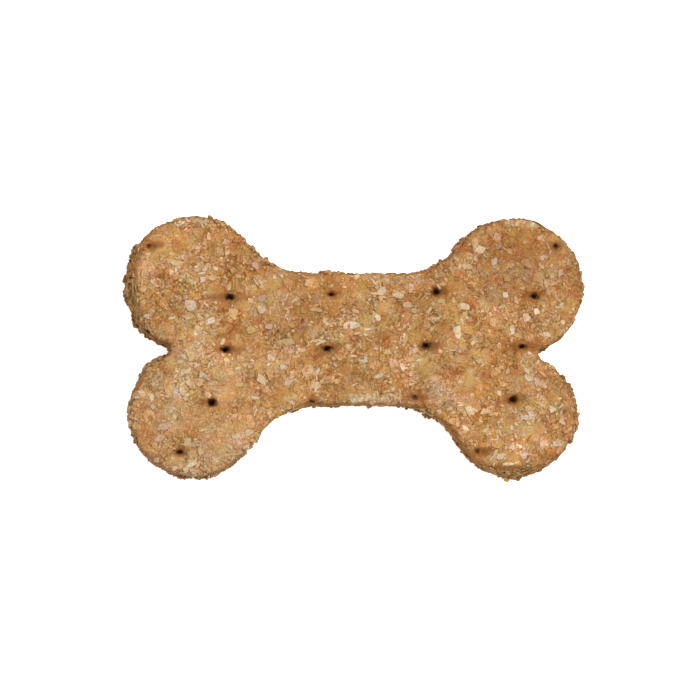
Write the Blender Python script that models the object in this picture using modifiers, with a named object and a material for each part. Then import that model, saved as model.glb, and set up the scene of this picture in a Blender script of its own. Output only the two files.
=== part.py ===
"""Bone-shaped dog biscuit, baked from coarse bran dough.

Lengths are in metres and +Z is up. The biscuit lies flat on its base with its long side
along X and its origin in the middle of the base. Its outline is four round lobes joined
by tangent arcs, its top is docked with rows of pin holes, and bran flakes stand in its
top and walls.
"""

import math

import bmesh
import bpy
import numpy as np
from mathutils import Matrix, Vector

# Outline at the foot of the wall: lobe centres and radii, then what joins the lobes
UPPER_LEFT = (-0.0331, 0.0125, 0.0138)
UPPER_RIGHT = (0.0326, 0.0120, 0.0142)
LOWER_RIGHT = (0.0328, -0.0142, 0.0127)
LOWER_LEFT = (-0.0327, -0.0137, 0.0132)
WAIST_TOP = 0.0148
WAIST_BOTTOM = -0.0122
SHOULDER_RADII = {"upper_left": 0.0166, "upper_right": 0.0148,
                  "lower_right": 0.0150, "lower_left": 0.0167}
NOTCH_RADIUS = 0.0010
OUTLINE_STEP = 0.0008

# Section through the rim: how far the wall has moved in at each height
THICKNESS = 0.0110
RIM_PROFILE = ((0.00015, 0.0000), (0.00000, 0.0012), (0.00004, 0.0035), (0.00012, 0.0060),
               (0.00022, 0.0085), (0.00036, 0.0100), (0.00064, 0.0106), (0.00135, 0.0109),
               (0.00270, 0.0110))
# Where the dough slumped and the wall leans more: x, y, how far round, and the extra inset
# of the wall's top, which grows evenly between two heights
LEANING_WALLS = ((-0.0465, 0.0115, 0.0090, 0.0021), (0.0335, -0.0268, 0.0072, 0.0018),
                 (-0.0330, -0.0268, 0.0050, 0.0004))
LEAN_FROM = 0.0012
LEAN_TO = 0.0099
BELOW_BASE = 0.0010
BASE_BLOCK = (0.14, 0.09)

# Docking pin holes in five rows: x, y, and how wide the dough left the hole, 1 as the pin
DOCKING_HOLES = (
    (-0.0420, 0.0201, 0.50), (0.0410, 0.0204, 0.60),
    (-0.0255, 0.0098, 1.05), (-0.0049, 0.0103, 0.85), (0.0165, 0.0109, 0.90),
    (0.0366, 0.0101, 0.95),
    (-0.0265, -0.0010, 1.05), (-0.0057, -0.0007, 1.00), (0.0144, 0.0000, 1.05),
    (0.0342, -0.0002, 0.90),
    (-0.0292, -0.0117, 1.05), (-0.0088, -0.0115, 0.65), (0.0122, -0.0107, 0.80),
    (0.0322, -0.0111, 1.05),
    (-0.0358, -0.0218, 0.80), (0.0249, -0.0216, 0.50),
)
HOLE_MOUTH = 0.00075
HOLE_TIP = 0.00035
HOLE_DEPTH = 0.0075
HOLE_STRETCH = 1.3
HOLE_SIDES = 8
DIMPLE_DEPTH = 0.00055
DIMPLE_LENGTH = 0.0016
DIMPLE_WIDTH = 0.0009

# Relief of the baked dough: slow swells and finer crags, each with the size of its cells
SWELL_HEIGHT = 0.00040
SWELL_CELL = 0.0085
SWELL_SEED = 5
CRAG_HEIGHT = 0.00030
CRAG_CELL = 0.0028
CRAG_SEED = 8
LATTICE = 64
VOXEL = 0.0008
DOUGH_TRIANGLES = 3800

# Bran flakes that stand in the crust, from the longest to the shortest
TOP_FLAKES = 110
WALL_FLAKES = 56
TOP_SEED = 11
WALL_SEED = 23
FLAKE_LONGEST = 0.0040
FLAKE_SHORTEST = 0.0020
FLAKE_WIDTHS = (0.45, 0.80)
FLAKE_CORNERS = (0.75, 1.15)
FLAKE_THICKNESS = 0.0006
FLAKE_SIDES = 6
FLAKE_TILT = math.radians(14)
FLAKE_GAP = 0.0006
RIM_MARGIN = 0.0016
HOLE_MARGIN = 0.0019
SPOTS_PER_FLAKE = 60
WALL_MIDDLE = 0.0052
WALL_SPREAD = 0.0042
WALL_SHIFT = 0.35
WALL_TURN = math.radians(35)
WALL_LEAN = (-0.25, 0.75)

CRUST_COLOUR = (0.49, 0.27, 0.12, 1.0)
CRUST_ROUGHNESS = 0.85
SHARP_ANGLE = math.radians(35)


def heading(start, end):
    """Angle of the line from one point to another."""
    return math.atan2(end[1] - start[1], end[0] - start[0])


def shoulder_centre(lobe, radius, edge, above, towards_middle):
    """Centre of the hollow arc that touches a lobe and a straight waist edge."""
    y = edge + radius if above else edge - radius
    reach = math.sqrt((lobe[2] + radius) ** 2 - (y - lobe[1]) ** 2)
    return (lobe[0] + towards_middle * reach, y)


def notch_centre(upper, lower, side):
    """Centre of the small arc that touches two lobes from outside, on the given side."""
    reach_upper = upper[2] + NOTCH_RADIUS
    reach_lower = lower[2] + NOTCH_RADIUS
    gap = math.dist(upper[:2], lower[:2])
    along = (reach_upper ** 2 - reach_lower ** 2 + gap ** 2) / (2 * gap)
    across = math.sqrt(reach_upper ** 2 - along ** 2)
    ux, uy = (lower[0] - upper[0]) / gap, (lower[1] - upper[1]) / gap
    return (upper[0] + along * ux - side * across * uy, upper[1] + along * uy + side * across * ux)


def arc(centre, radius, start, end, bulge):
    """An arc as centre, radius, start angle, sweep and bulge: 1 outward, -1 hollow."""
    sweep = (end - start) % (2 * math.pi)
    if bulge < 0:
        sweep -= 2 * math.pi
    return (centre[0], centre[1], radius, start, sweep, bulge)


def bone_arcs():
    """The arcs of the outline, counter-clockwise from the right-hand notch.

    Neighbouring arcs are tangent, so their joints lie on the lines between their centres;
    the two waist edges are the straight lines left between shoulder arcs.
    """
    radii = SHOULDER_RADII
    above_left = shoulder_centre(UPPER_LEFT, radii["upper_left"], WAIST_TOP, True, 1)
    above_right = shoulder_centre(UPPER_RIGHT, radii["upper_right"], WAIST_TOP, True, -1)
    below_right = shoulder_centre(LOWER_RIGHT, radii["lower_right"], WAIST_BOTTOM, False, -1)
    below_left = shoulder_centre(LOWER_LEFT, radii["lower_left"], WAIST_BOTTOM, False, 1)
    right = notch_centre(UPPER_RIGHT, LOWER_RIGHT, 1)
    left = notch_centre(UPPER_LEFT, LOWER_LEFT, -1)
    down, up = -math.pi / 2, math.pi / 2

    def lobe(circle, before, after):
        return arc(circle, circle[2], heading(circle, before), heading(circle, after), 1)

    return (
        lobe(UPPER_RIGHT, right, above_right),
        arc(above_right, radii["upper_right"], heading(above_right, UPPER_RIGHT), down, -1),
        arc(above_left, radii["upper_left"], down, heading(above_left, UPPER_LEFT), -1),
        lobe(UPPER_LEFT, above_left, left),
        arc(left, NOTCH_RADIUS, heading(left, UPPER_LEFT), heading(left, LOWER_LEFT), -1),
        lobe(LOWER_LEFT, left, below_left),
        arc(below_left, radii["lower_left"], heading(below_left, LOWER_LEFT), up, -1),
        arc(below_right, radii["lower_right"], up, heading(below_right, LOWER_RIGHT), -1),
        lobe(LOWER_RIGHT, below_right, right),
        arc(right, NOTCH_RADIUS, heading(right, LOWER_RIGHT), heading(right, UPPER_RIGHT), -1),
    )


def outline():
    """Points of the outline at the foot of the wall, and the outward direction at each.

    Where one arc ends short of the next, a straight edge with even points joins them.
    """
    arcs = bone_arcs()
    points = []
    directions = []
    for k, (x, y, radius, start, sweep, bulge) in enumerate(arcs):
        steps = max(3, round(abs(sweep) * radius / OUTLINE_STEP))
        angles = start + sweep * np.arange(steps + 1) / steps
        ray = np.column_stack((np.cos(angles), np.sin(angles)))
        places = np.array((x, y)) + radius * ray
        following = arcs[(k + 1) % len(arcs)]
        shared = following[:2] + following[2] * np.array(
            (math.cos(following[3]), math.sin(following[3])))
        gaps = round(math.dist(places[-1], shared) / OUTLINE_STEP)
        share = np.arange(gaps)[:, None] / max(gaps, 1)
        points += [places[:-1], places[-1] + share * (shared - places[-1])]
        directions += [bulge * ray[:-1], np.repeat(bulge * ray[-1:], gaps, axis=0)]
    return np.concatenate(points), np.concatenate(directions)


def extra_lean(x, y):
    """Extra inset of the wall's top near each point."""
    total = np.zeros(np.shape(x))
    for middle_x, middle_y, reach, amount in LEANING_WALLS:
        total += amount * np.exp(-((x - middle_x) ** 2 + (y - middle_y) ** 2) / reach ** 2)
    return total


def wall_row(inset, height):
    """Points of the wall at a height, and the outward direction at each."""
    points, directions = outline()
    share = np.clip((height - LEAN_FROM) / (LEAN_TO - LEAN_FROM), 0.0, 1.0)
    moved = inset + share * extra_lean(*points.T)
    return points - moved[:, None] * directions, directions


def value_noise(x, y, cell, seed):
    """Smooth random heights from -1 to 1: a lattice of random values, eased in between."""
    lattice = np.random.default_rng(seed).uniform(-1.0, 1.0, (LATTICE, LATTICE))
    i, j = np.floor(x / cell).astype(int), np.floor(y / cell).astype(int)
    u, v = x / cell - i, y / cell - j
    u, v = u * u * (3 - 2 * u), v * v * (3 - 2 * v)
    i, j, right, above = i % LATTICE, j % LATTICE, (i + 1) % LATTICE, (j + 1) % LATTICE
    low = lattice[i, j] * (1 - u) + lattice[right, j] * u
    high = lattice[i, above] * (1 - u) + lattice[right, above] * u
    return low * (1 - v) + high * v


def edge_distance(x, y):
    """How far each point lies inside the foot of the wall, from the nearest outline piece.

    A point is measured to an arc, along the arc's radius, when its bearing from the centre
    falls in the arc's sweep, and to a waist edge when it is between the two shoulders.
    """
    arcs = bone_arcs()
    nearest = np.full(np.shape(x), np.inf)
    for centre_x, centre_y, radius, start, sweep, bulge in arcs:
        bearing = np.arctan2(y - centre_y, x - centre_x)
        turned = np.mod(math.copysign(1.0, sweep) * (bearing - start), 2 * math.pi)
        inside = bulge * (radius - np.hypot(x - centre_x, y - centre_y))
        closer = (turned <= abs(sweep)) & (np.abs(inside) < np.abs(nearest))
        nearest = np.where(closer, inside, nearest)
    above_right, above_left, below_left, below_right = (arcs[k] for k in (1, 2, 6, 7))
    for left, right, inside in ((above_left, above_right, WAIST_TOP - y),
                                (below_left, below_right, y - WAIST_BOTTOM)):
        closer = (x > left[0]) & (x < right[0]) & (np.abs(inside) < np.abs(nearest))
        nearest = np.where(closer, inside, nearest)
    return nearest


def top_relief(x, y):
    """Height added to the flat top: slow swells, fine crags, a dimple round each hole."""
    height = SWELL_HEIGHT * value_noise(x, y, SWELL_CELL, SWELL_SEED)
    height += CRAG_HEIGHT * value_noise(x, y, CRAG_CELL, CRAG_SEED)
    for hole_x, hole_y, share in DOCKING_HOLES:
        reach = ((x - hole_x) / DIMPLE_LENGTH) ** 2 + ((y - hole_y) / DIMPLE_WIDTH) ** 2
        height -= share * DIMPLE_DEPTH * np.exp(-reach / 2)
    return height


def top_inset(x, y):
    """How far each point of the top lies in from the wall, counting out the wall's lean."""
    return edge_distance(x, y) - extra_lean(x, y)


def top_height(x, y):
    """Height of the biscuit's upper surface over each point."""
    inset, height = np.array(RIM_PROFILE[1:]).T
    return np.interp(top_inset(x, y), inset, height) + top_relief(x, y)


def wall_place(share, height):
    """Point on the wall a given share of the way round, with the outward direction there."""
    levels = np.array(RIM_PROFILE)[:, 1]
    inset = np.interp(height, levels, np.array(RIM_PROFILE)[:, 0])
    points, directions = wall_row(inset, height)
    index = int(share * len(points)) % len(points)
    return points[index], directions[index]


def new_object(name, bm, collection):
    """Turn a bmesh into a named object in a collection."""
    bmesh.ops.recalc_face_normals(bm, faces=bm.faces)
    mesh = bpy.data.meshes.new(name)
    bm.to_mesh(mesh)
    bm.free()
    obj = bpy.data.objects.new(name, mesh)
    collection.objects.link(obj)
    return obj


def loft(rings, name, collection):
    """A closed solid through rings of equally many points, each ring at its own height."""
    bm = bmesh.new()
    loops = [[bm.verts.new((x, y, z)) for x, y in points] for points, z in rings]
    for lower, upper in zip(loops, loops[1:]):
        for k in range(len(lower)):
            n = (k + 1) % len(lower)
            bm.faces.new((lower[k], lower[n], upper[n], upper[k]))
    bm.faces.new(reversed(loops[0]))
    bm.faces.new(loops[-1])
    return new_object(name, bm, collection)


def apply_modifiers(obj):
    """Replace an object's mesh with what its modifiers make of it."""
    graph = bpy.context.evaluated_depsgraph_get()
    graph.update()
    mesh = bpy.data.meshes.new_from_object(obj.evaluated_get(graph))
    old = obj.data
    obj.modifiers.clear()
    obj.data = mesh
    bpy.data.meshes.remove(old)
    mesh.name = obj.name


def triangle_count(mesh):
    """Triangles that the mesh's faces split into."""
    mesh.calc_loop_triangles()
    return len(mesh.loop_triangles)


def bake_relief(mesh):
    """Move the points of an even mesh: the top up and down, the rim and wall in and out."""
    places = np.empty(len(mesh.vertices) * 3)
    normals = np.empty(len(mesh.vertices) * 3)
    mesh.vertices.foreach_get("co", places)
    mesh.vertices.foreach_get("normal", normals)
    places, normals = places.reshape(-1, 3), normals.reshape(-1, 3)
    x, y, z = places.T.copy()
    upper = np.clip(2 * z / THICKNESS - 1.0, 0.0, 1.0)
    rim = np.clip(1.0 - np.abs(edge_distance(x, y)) / RIM_MARGIN, 0.0, 1.0)
    crags = CRAG_HEIGHT * value_noise(x + z, y - z, CRAG_CELL, CRAG_SEED)
    places[:, 2] += upper * top_relief(x, y)
    places[:, :2] += (rim * crags)[:, None] * normals[:, :2]
    mesh.vertices.foreach_set("co", places.ravel())


def make_dough(collection):
    """The bare biscuit: a lofted bone, remeshed evenly, given its relief and thinned out."""
    rings = [(wall_row(RIM_PROFILE[0][0], 0.0)[0], -BELOW_BASE)]
    rings += [(wall_row(inset, height)[0], height) for inset, height in RIM_PROFILE]
    dough = loft(rings, "biscuit", collection)
    remesh = dough.modifiers.new("even faces", "REMESH")
    remesh.mode = "VOXEL"
    remesh.voxel_size = VOXEL
    apply_modifiers(dough)
    bake_relief(dough.data)
    decimate = dough.modifiers.new("fewer faces", "DECIMATE")
    decimate.ratio = DOUGH_TRIANGLES / triangle_count(dough.data)
    apply_modifiers(dough)
    return dough


def make_docking_pins(collection):
    """Tapered pins where the docking holes go, stretched along the rolling direction.

    A pin reaches as far above the top as below it, so its radius at the top is the mouth's.
    """
    for k, (x, y, share) in enumerate(DOCKING_HOLES):
        mouth, tip = share * HOLE_MOUTH, share * HOLE_TIP
        bm = bmesh.new()
        bmesh.ops.create_cone(bm, cap_ends=True, segments=HOLE_SIDES, radius1=tip,
                              radius2=2 * mouth - tip, depth=2 * HOLE_DEPTH)
        bmesh.ops.scale(bm, vec=(HOLE_STRETCH, 1.0, 1.0), verts=bm.verts)
        bmesh.ops.translate(bm, vec=(x, y, THICKNESS), verts=bm.verts)
        new_object(f"pin_{k + 1:02d}", bm, collection)


def make_flake(name, place, facing, along, size, corners, collection):
    """A bran flake: a thin six-cornered plate lying square to facing, long side on along.

    The cone's first corner is 30 degrees from X, so corner k is at 30 + 60 k degrees.
    """
    bm = bmesh.new()
    bmesh.ops.create_cone(bm, cap_ends=True, segments=FLAKE_SIDES,
                          radius1=0.5, radius2=0.42, depth=1.0)
    for vertex in bm.verts:
        turns = math.atan2(vertex.co.y, vertex.co.x) / (2 * math.pi)
        vertex.co.xy *= corners[round(turns * FLAKE_SIDES - 0.5) % FLAKE_SIDES]
    bmesh.ops.scale(bm, vec=size, verts=bm.verts)
    across = facing.cross(along)
    turn = Matrix((along, across, facing)).transposed().to_4x4()
    bmesh.ops.transform(bm, matrix=Matrix.Translation(place) @ turn, verts=bm.verts)
    new_object(name, bm, collection)


def flake_sizes(count, rng):
    """Lengths falling evenly from the longest to the shortest, each with its own width."""
    length = np.linspace(FLAKE_LONGEST, FLAKE_SHORTEST, count)
    return length, length * rng.uniform(*FLAKE_WIDTHS, count)


def near_hole(spot, length):
    """Whether a flake of the given length at this spot would reach a docking hole."""
    nearest = min(math.dist(spot, hole[:2]) for hole in DOCKING_HOLES)
    return nearest < HOLE_MARGIN + length / 4


def choose_spots(length, rng):
    """Places on the top, one for each length, clear of rim, holes and earlier places."""
    half = np.array((UPPER_RIGHT[0] + UPPER_RIGHT[2], UPPER_RIGHT[1] + UPPER_RIGHT[2]))
    spots = rng.uniform(-1.0, 1.0, (len(length) * SPOTS_PER_FLAKE, 2)) * half
    spots = spots[top_inset(*spots.T) > RIM_MARGIN]
    chosen = []
    for spot in spots:
        if len(chosen) == len(length):
            break
        own_length = length[len(chosen)]
        crowded = any(math.dist(spot, other) < (own_length + length[k]) / 2 + FLAKE_GAP
                      for k, other in enumerate(chosen))
        if not crowded and not near_hole(spot, own_length):
            chosen.append(spot)
    return np.array(chosen)


def scatter_top_flakes(collection):
    """Flakes over the top, largest first, each turned and tilted its own way."""
    rng = np.random.default_rng(TOP_SEED)
    length, width = flake_sizes(TOP_FLAKES, rng)
    spots = choose_spots(length, rng)
    heights = top_height(*spots.T)
    for k, (spot, height) in enumerate(zip(spots, heights)):
        turn, lean, side = rng.uniform(-1.0, 1.0, 3)
        corners = rng.uniform(*FLAKE_CORNERS, FLAKE_SIDES)
        tilt = (Matrix.Rotation(lean * FLAKE_TILT, 3, "X")
                @ Matrix.Rotation(side * FLAKE_TILT, 3, "Y")
                @ Matrix.Rotation(turn * math.pi, 3, "Z"))
        size = (length[k], width[k], FLAKE_THICKNESS)
        make_flake(f"top_flake_{k:03d}", Vector((*spot, height)), tilt.col[2], tilt.col[0],
                   size, corners, collection)


def scatter_wall_flakes(collection):
    """Flakes round the wall at random heights, evenly spaced but for a random shift.

    Where the wall is close to a docking hole, the dough between is too thin for a flake.
    """
    rng = np.random.default_rng(WALL_SEED)
    length, width = flake_sizes(WALL_FLAKES, rng)
    slots = rng.permutation(WALL_FLAKES)
    for k in range(WALL_FLAKES):
        shift, level, lean, turn = rng.uniform(-1.0, 1.0, 4)
        corners = rng.uniform(*FLAKE_CORNERS, FLAKE_SIDES)
        upward = rng.uniform(*WALL_LEAN)
        height = WALL_MIDDLE + WALL_SPREAD * level
        point, outward = wall_place((slots[k] + WALL_SHIFT * shift) / WALL_FLAKES, height)
        if near_hole(point, length[k]):
            continue
        facing = Vector((*outward, upward)).normalized()
        along = Vector((-outward[1], outward[0], 0.0))
        along = Matrix.Rotation(WALL_TURN * turn, 3, facing) @ along
        along.rotate(Matrix.Rotation(FLAKE_TILT * lean, 3, "Z"))
        facing = facing.cross(along).cross(-along).normalized()
        size = (length[k], width[k], FLAKE_THICKNESS)
        make_flake(f"wall_flake_{k:03d}", Vector((*point, height)), facing, along,
                   size, corners, collection)


def combine(target, operation, collection, name):
    """Join or cut with every object of a collection, then remove those objects."""
    boolean = target.modifiers.new(name, "BOOLEAN")
    boolean.operation = operation
    boolean.operand_type = "COLLECTION"
    boolean.collection = collection
    boolean.solver = "EXACT"
    apply_modifiers(target)
    for obj in list(collection.objects):
        bpy.data.objects.remove(obj)
    bpy.data.collections.remove(collection)


def make_base_block(collection):
    """A block under z = 0 that trims the biscuit to one flat resting face."""
    bm = bmesh.new()
    bmesh.ops.create_cube(bm, size=1.0)
    deep = 6 * BELOW_BASE
    bmesh.ops.scale(bm, vec=(*BASE_BLOCK, deep), verts=bm.verts)
    bmesh.ops.translate(bm, vec=(0.0, 0.0, -deep / 2), verts=bm.verts)
    new_object("base_block", bm, collection)


def new_collection(name):
    """A collection linked to the scene."""
    collection = bpy.data.collections.new(name)
    bpy.context.scene.collection.children.link(collection)
    return collection


def crust_material():
    """Matt baked bran dough."""
    material = bpy.data.materials.new("baked_bran_crust")
    material.use_nodes = True
    shader = material.node_tree.nodes["Principled BSDF"]
    shader.inputs["Base Color"].default_value = CRUST_COLOUR
    shader.inputs["Roughness"].default_value = CRUST_ROUGHNESS
    shader.inputs["Metallic"].default_value = 0.0
    return material


def main():
    """Build the biscuit: dough, docking holes, flakes, then one flat base."""
    for obj in list(bpy.data.objects):
        bpy.data.objects.remove(obj)
    biscuit = make_dough(new_collection("dog_biscuit"))

    pins = new_collection("docking_pins")
    make_docking_pins(pins)
    combine(biscuit, "DIFFERENCE", pins, "docking holes")

    flakes = new_collection("bran_flakes")
    scatter_top_flakes(flakes)
    scatter_wall_flakes(flakes)
    combine(biscuit, "UNION", flakes, "bran flakes")

    block = new_collection("base_cut")
    make_base_block(block)
    combine(biscuit, "DIFFERENCE", block, "flat base")

    biscuit.data.materials.clear()
    biscuit.data.materials.append(crust_material())
    biscuit.data.shade_smooth()
    biscuit.data.set_sharp_from_angle(angle=SHARP_ANGLE)
    print("biscuit", triangle_count(biscuit.data), "triangles")


main()
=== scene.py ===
# %% [markdown]
# # A bone-shaped dog biscuit
# The biscuit is a slab of coarse bran dough, cut to a bone, docked with pins so that it
# bakes flat, and baked dry. Its looks come from three things: the shape of the slab, the
# mosaic of bran flakes, crumbs and dough in its crust, and soft light from the far side.
# Each surface here is an array of points worked out with numpy.

import itertools
import math

import bpy
import numpy as np
from mathutils import Matrix
from mathutils.geometry import delaunay_2d_cdt


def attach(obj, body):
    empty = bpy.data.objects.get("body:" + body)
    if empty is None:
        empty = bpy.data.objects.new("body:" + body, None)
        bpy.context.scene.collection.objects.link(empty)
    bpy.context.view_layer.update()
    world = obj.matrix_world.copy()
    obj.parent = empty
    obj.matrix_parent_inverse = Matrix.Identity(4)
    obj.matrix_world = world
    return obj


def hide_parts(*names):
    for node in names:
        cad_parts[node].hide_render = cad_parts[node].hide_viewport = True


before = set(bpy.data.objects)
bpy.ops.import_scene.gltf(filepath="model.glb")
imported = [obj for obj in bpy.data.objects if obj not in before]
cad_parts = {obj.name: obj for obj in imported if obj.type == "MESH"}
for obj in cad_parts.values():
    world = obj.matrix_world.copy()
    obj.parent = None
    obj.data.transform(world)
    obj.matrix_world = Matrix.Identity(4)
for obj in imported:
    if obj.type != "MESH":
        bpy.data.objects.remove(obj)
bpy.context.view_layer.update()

# %% [markdown]
# ## Camera
# The biscuit lies flat and is seen from nearly straight above. The lens leans a few degrees
# towards the left and the near side, so that those walls show and the others don't. A camera
# that looks straight down has no natural "up", so its axes are built here from the direction
# back to the camera and the biscuit's own +Y.

# %% Camera
LOOK_AT = (-0.00061, -0.00070, 0.0020)
LEAN_LEFT = math.radians(3.3)
LEAN_NEAR = math.radians(2.0)
CAMERA_DISTANCE = 0.70
PIXELS_PER_METRE = 4850.0
FRAME_PIXELS = 700.0
SENSOR_WIDTH = 36.0


def unit(vectors):
    """Vectors scaled to length one."""
    return vectors / np.maximum(np.linalg.norm(vectors, axis=-1, keepdims=True), 1e-12)


def standing(place, back, upward):
    """The matrix of a camera or lamp at a place, from its back direction and what is up."""
    right = unit(np.cross(upward, back))
    matrix = np.eye(4)
    matrix[:3, :3] = np.column_stack((right, np.cross(back, right), back))
    matrix[:3, 3] = place
    return Matrix(matrix.tolist())


def make_camera():
    """A long lens over the biscuit, at the scale that the frame's pixels need."""
    left, near = math.sin(LEAN_LEFT), math.sin(LEAN_NEAR)
    back = np.array((-left, -near, math.sqrt(1.0 - left ** 2 - near ** 2)))
    data = bpy.data.cameras.new("camera")
    data.sensor_width = SENSOR_WIDTH
    data.lens = SENSOR_WIDTH * CAMERA_DISTANCE * PIXELS_PER_METRE / FRAME_PIXELS
    camera = bpy.data.objects.new("camera", data)
    camera.matrix_world = standing(np.array(LOOK_AT) + CAMERA_DISTANCE * back, back, (0.0, 1.0, 0.0))
    bpy.context.scene.collection.objects.link(camera)
    bpy.context.scene.camera = camera
    return camera


def under_pixel(across, down, height):
    """Where the camera's rays through pixels of its 700 by 700 frame reach a height."""
    right, up, back = np.array(camera.matrix_world.to_3x3()).T
    lens = CAMERA_DISTANCE * PIXELS_PER_METRE
    ray = (np.outer(np.asarray(across) - FRAME_PIXELS / 2, right)
           - np.outer(np.asarray(down) - FRAME_PIXELS / 2, up) - lens * back)
    place = np.array(camera.matrix_world.translation)
    return place + ray * ((height - place[2]) / ray[:, 2])[:, None]


camera = make_camera()
print("lens", round(camera.data.lens), "mm; mm under the frame's middle",
      (1000 * under_pixel([FRAME_PIXELS / 2], [FRAME_PIXELS / 2], LOOK_AT[2])).round(2))

# %% [markdown]
# ## The bone's outline
# A cutter for such a biscuit is bent from a strip, so its outline runs without corners: four
# round lobes, hollow arcs from the lobes into two straight waist edges, and a tight notch at
# each end. Neighbouring arcs are tangent, so the point where they meet lies on the line
# between their centres. Two gains follow: every arc's ends are simple angles, and moving the
# outline in by some inset only changes radii, never centres or angles.

# %% Outline arcs
UPPER_LEFT = (-0.0331, 0.0125, 0.0138)
UPPER_RIGHT = (0.0326, 0.0120, 0.0142)
LOWER_RIGHT = (0.0328, -0.0142, 0.0127)
LOWER_LEFT = (-0.0327, -0.0137, 0.0132)
WAIST_TOP = 0.0148
WAIST_BOTTOM = -0.0122
SHOULDER_RADII = {"upper_left": 0.0166, "upper_right": 0.0148,
                  "lower_right": 0.0150, "lower_left": 0.0167}
NOTCH_RADIUS = 0.0010


def heading(start, end):
    """Angle of the line from one point to another."""
    return math.atan2(end[1] - start[1], end[0] - start[0])


def shoulder_centre(lobe, radius, edge, above, towards_middle):
    """Centre of the hollow arc that touches a lobe and a straight waist edge."""
    y = edge + radius if above else edge - radius
    reach = math.sqrt((lobe[2] + radius) ** 2 - (y - lobe[1]) ** 2)
    return (lobe[0] + towards_middle * reach, y)


def notch_centre(upper, lower, side):
    """Centre of the small arc that touches two lobes from outside, on the given side."""
    reach_upper = upper[2] + NOTCH_RADIUS
    reach_lower = lower[2] + NOTCH_RADIUS
    gap = math.dist(upper[:2], lower[:2])
    along = (reach_upper ** 2 - reach_lower ** 2 + gap ** 2) / (2 * gap)
    across = math.sqrt(reach_upper ** 2 - along ** 2)
    ux, uy = (lower[0] - upper[0]) / gap, (lower[1] - upper[1]) / gap
    return (upper[0] + along * ux - side * across * uy, upper[1] + along * uy + side * across * ux)


def arc(centre, radius, start, end, bulge):
    """An arc as centre, radius, start angle, sweep and bulge: 1 outward, -1 hollow."""
    sweep = (end - start) % (2 * math.pi)
    if bulge < 0:
        sweep -= 2 * math.pi
    return (centre[0], centre[1], radius, start, sweep, bulge)


def bone_arcs():
    """The arcs of the outline, counter-clockwise from the right-hand notch."""
    radii = SHOULDER_RADII
    above_left = shoulder_centre(UPPER_LEFT, radii["upper_left"], WAIST_TOP, True, 1)
    above_right = shoulder_centre(UPPER_RIGHT, radii["upper_right"], WAIST_TOP, True, -1)
    below_right = shoulder_centre(LOWER_RIGHT, radii["lower_right"], WAIST_BOTTOM, False, -1)
    below_left = shoulder_centre(LOWER_LEFT, radii["lower_left"], WAIST_BOTTOM, False, 1)
    right = notch_centre(UPPER_RIGHT, LOWER_RIGHT, 1)
    left = notch_centre(UPPER_LEFT, LOWER_LEFT, -1)
    down, up = -math.pi / 2, math.pi / 2

    def lobe(circle, before, after):
        return arc(circle, circle[2], heading(circle, before), heading(circle, after), 1)

    return (
        lobe(UPPER_RIGHT, right, above_right),
        arc(above_right, radii["upper_right"], heading(above_right, UPPER_RIGHT), down, -1),
        arc(above_left, radii["upper_left"], down, heading(above_left, UPPER_LEFT), -1),
        lobe(UPPER_LEFT, above_left, left),
        arc(left, NOTCH_RADIUS, heading(left, UPPER_LEFT), heading(left, LOWER_LEFT), -1),
        lobe(LOWER_LEFT, left, below_left),
        arc(below_left, radii["lower_left"], heading(below_left, LOWER_LEFT), up, -1),
        arc(below_right, radii["lower_right"], up, heading(below_right, LOWER_RIGHT), -1),
        lobe(LOWER_RIGHT, below_right, right),
        arc(right, NOTCH_RADIUS, heading(right, LOWER_RIGHT), heading(right, UPPER_RIGHT), -1),
    )


ARCS = bone_arcs()
print("outline of", len(ARCS), "arcs, hollow ones:", sum(piece[5] < 0 for piece in ARCS))


# %% Points of the outline, and the distance to it
def outline(inset, step):
    """Points of the outline moved in by inset, and the outward direction at each.

    An arc's points are centre + radius (cos, sin) over its sweep, in steps of about the
    given length on the arc before it moved; where one arc ends short of the next, evenly
    spaced points of a straight line join them.
    """
    points, directions = [], []
    for k, (x, y, radius, start, sweep, bulge) in enumerate(ARCS):
        steps = max(3, round(abs(sweep) * radius / step))
        angles = start + sweep * np.arange(steps + 1) / steps
        ray = np.column_stack((np.cos(angles), np.sin(angles)))
        places = np.array((x, y)) + (radius - bulge * inset) * ray
        after = ARCS[(k + 1) % len(ARCS)]
        meeting = after[:2] + (after[2] - after[5] * inset) * np.array(
            (math.cos(after[3]), math.sin(after[3])))
        gaps = round(math.dist(places[-1], meeting) / step)
        share = np.arange(gaps)[:, None] / max(gaps, 1)
        points += [places[:-1], places[-1] + share * (meeting - places[-1])]
        directions += [bulge * ray[:-1], np.repeat(bulge * ray[-1:], gaps, axis=0)]
    return np.concatenate(points), np.concatenate(directions)


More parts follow.
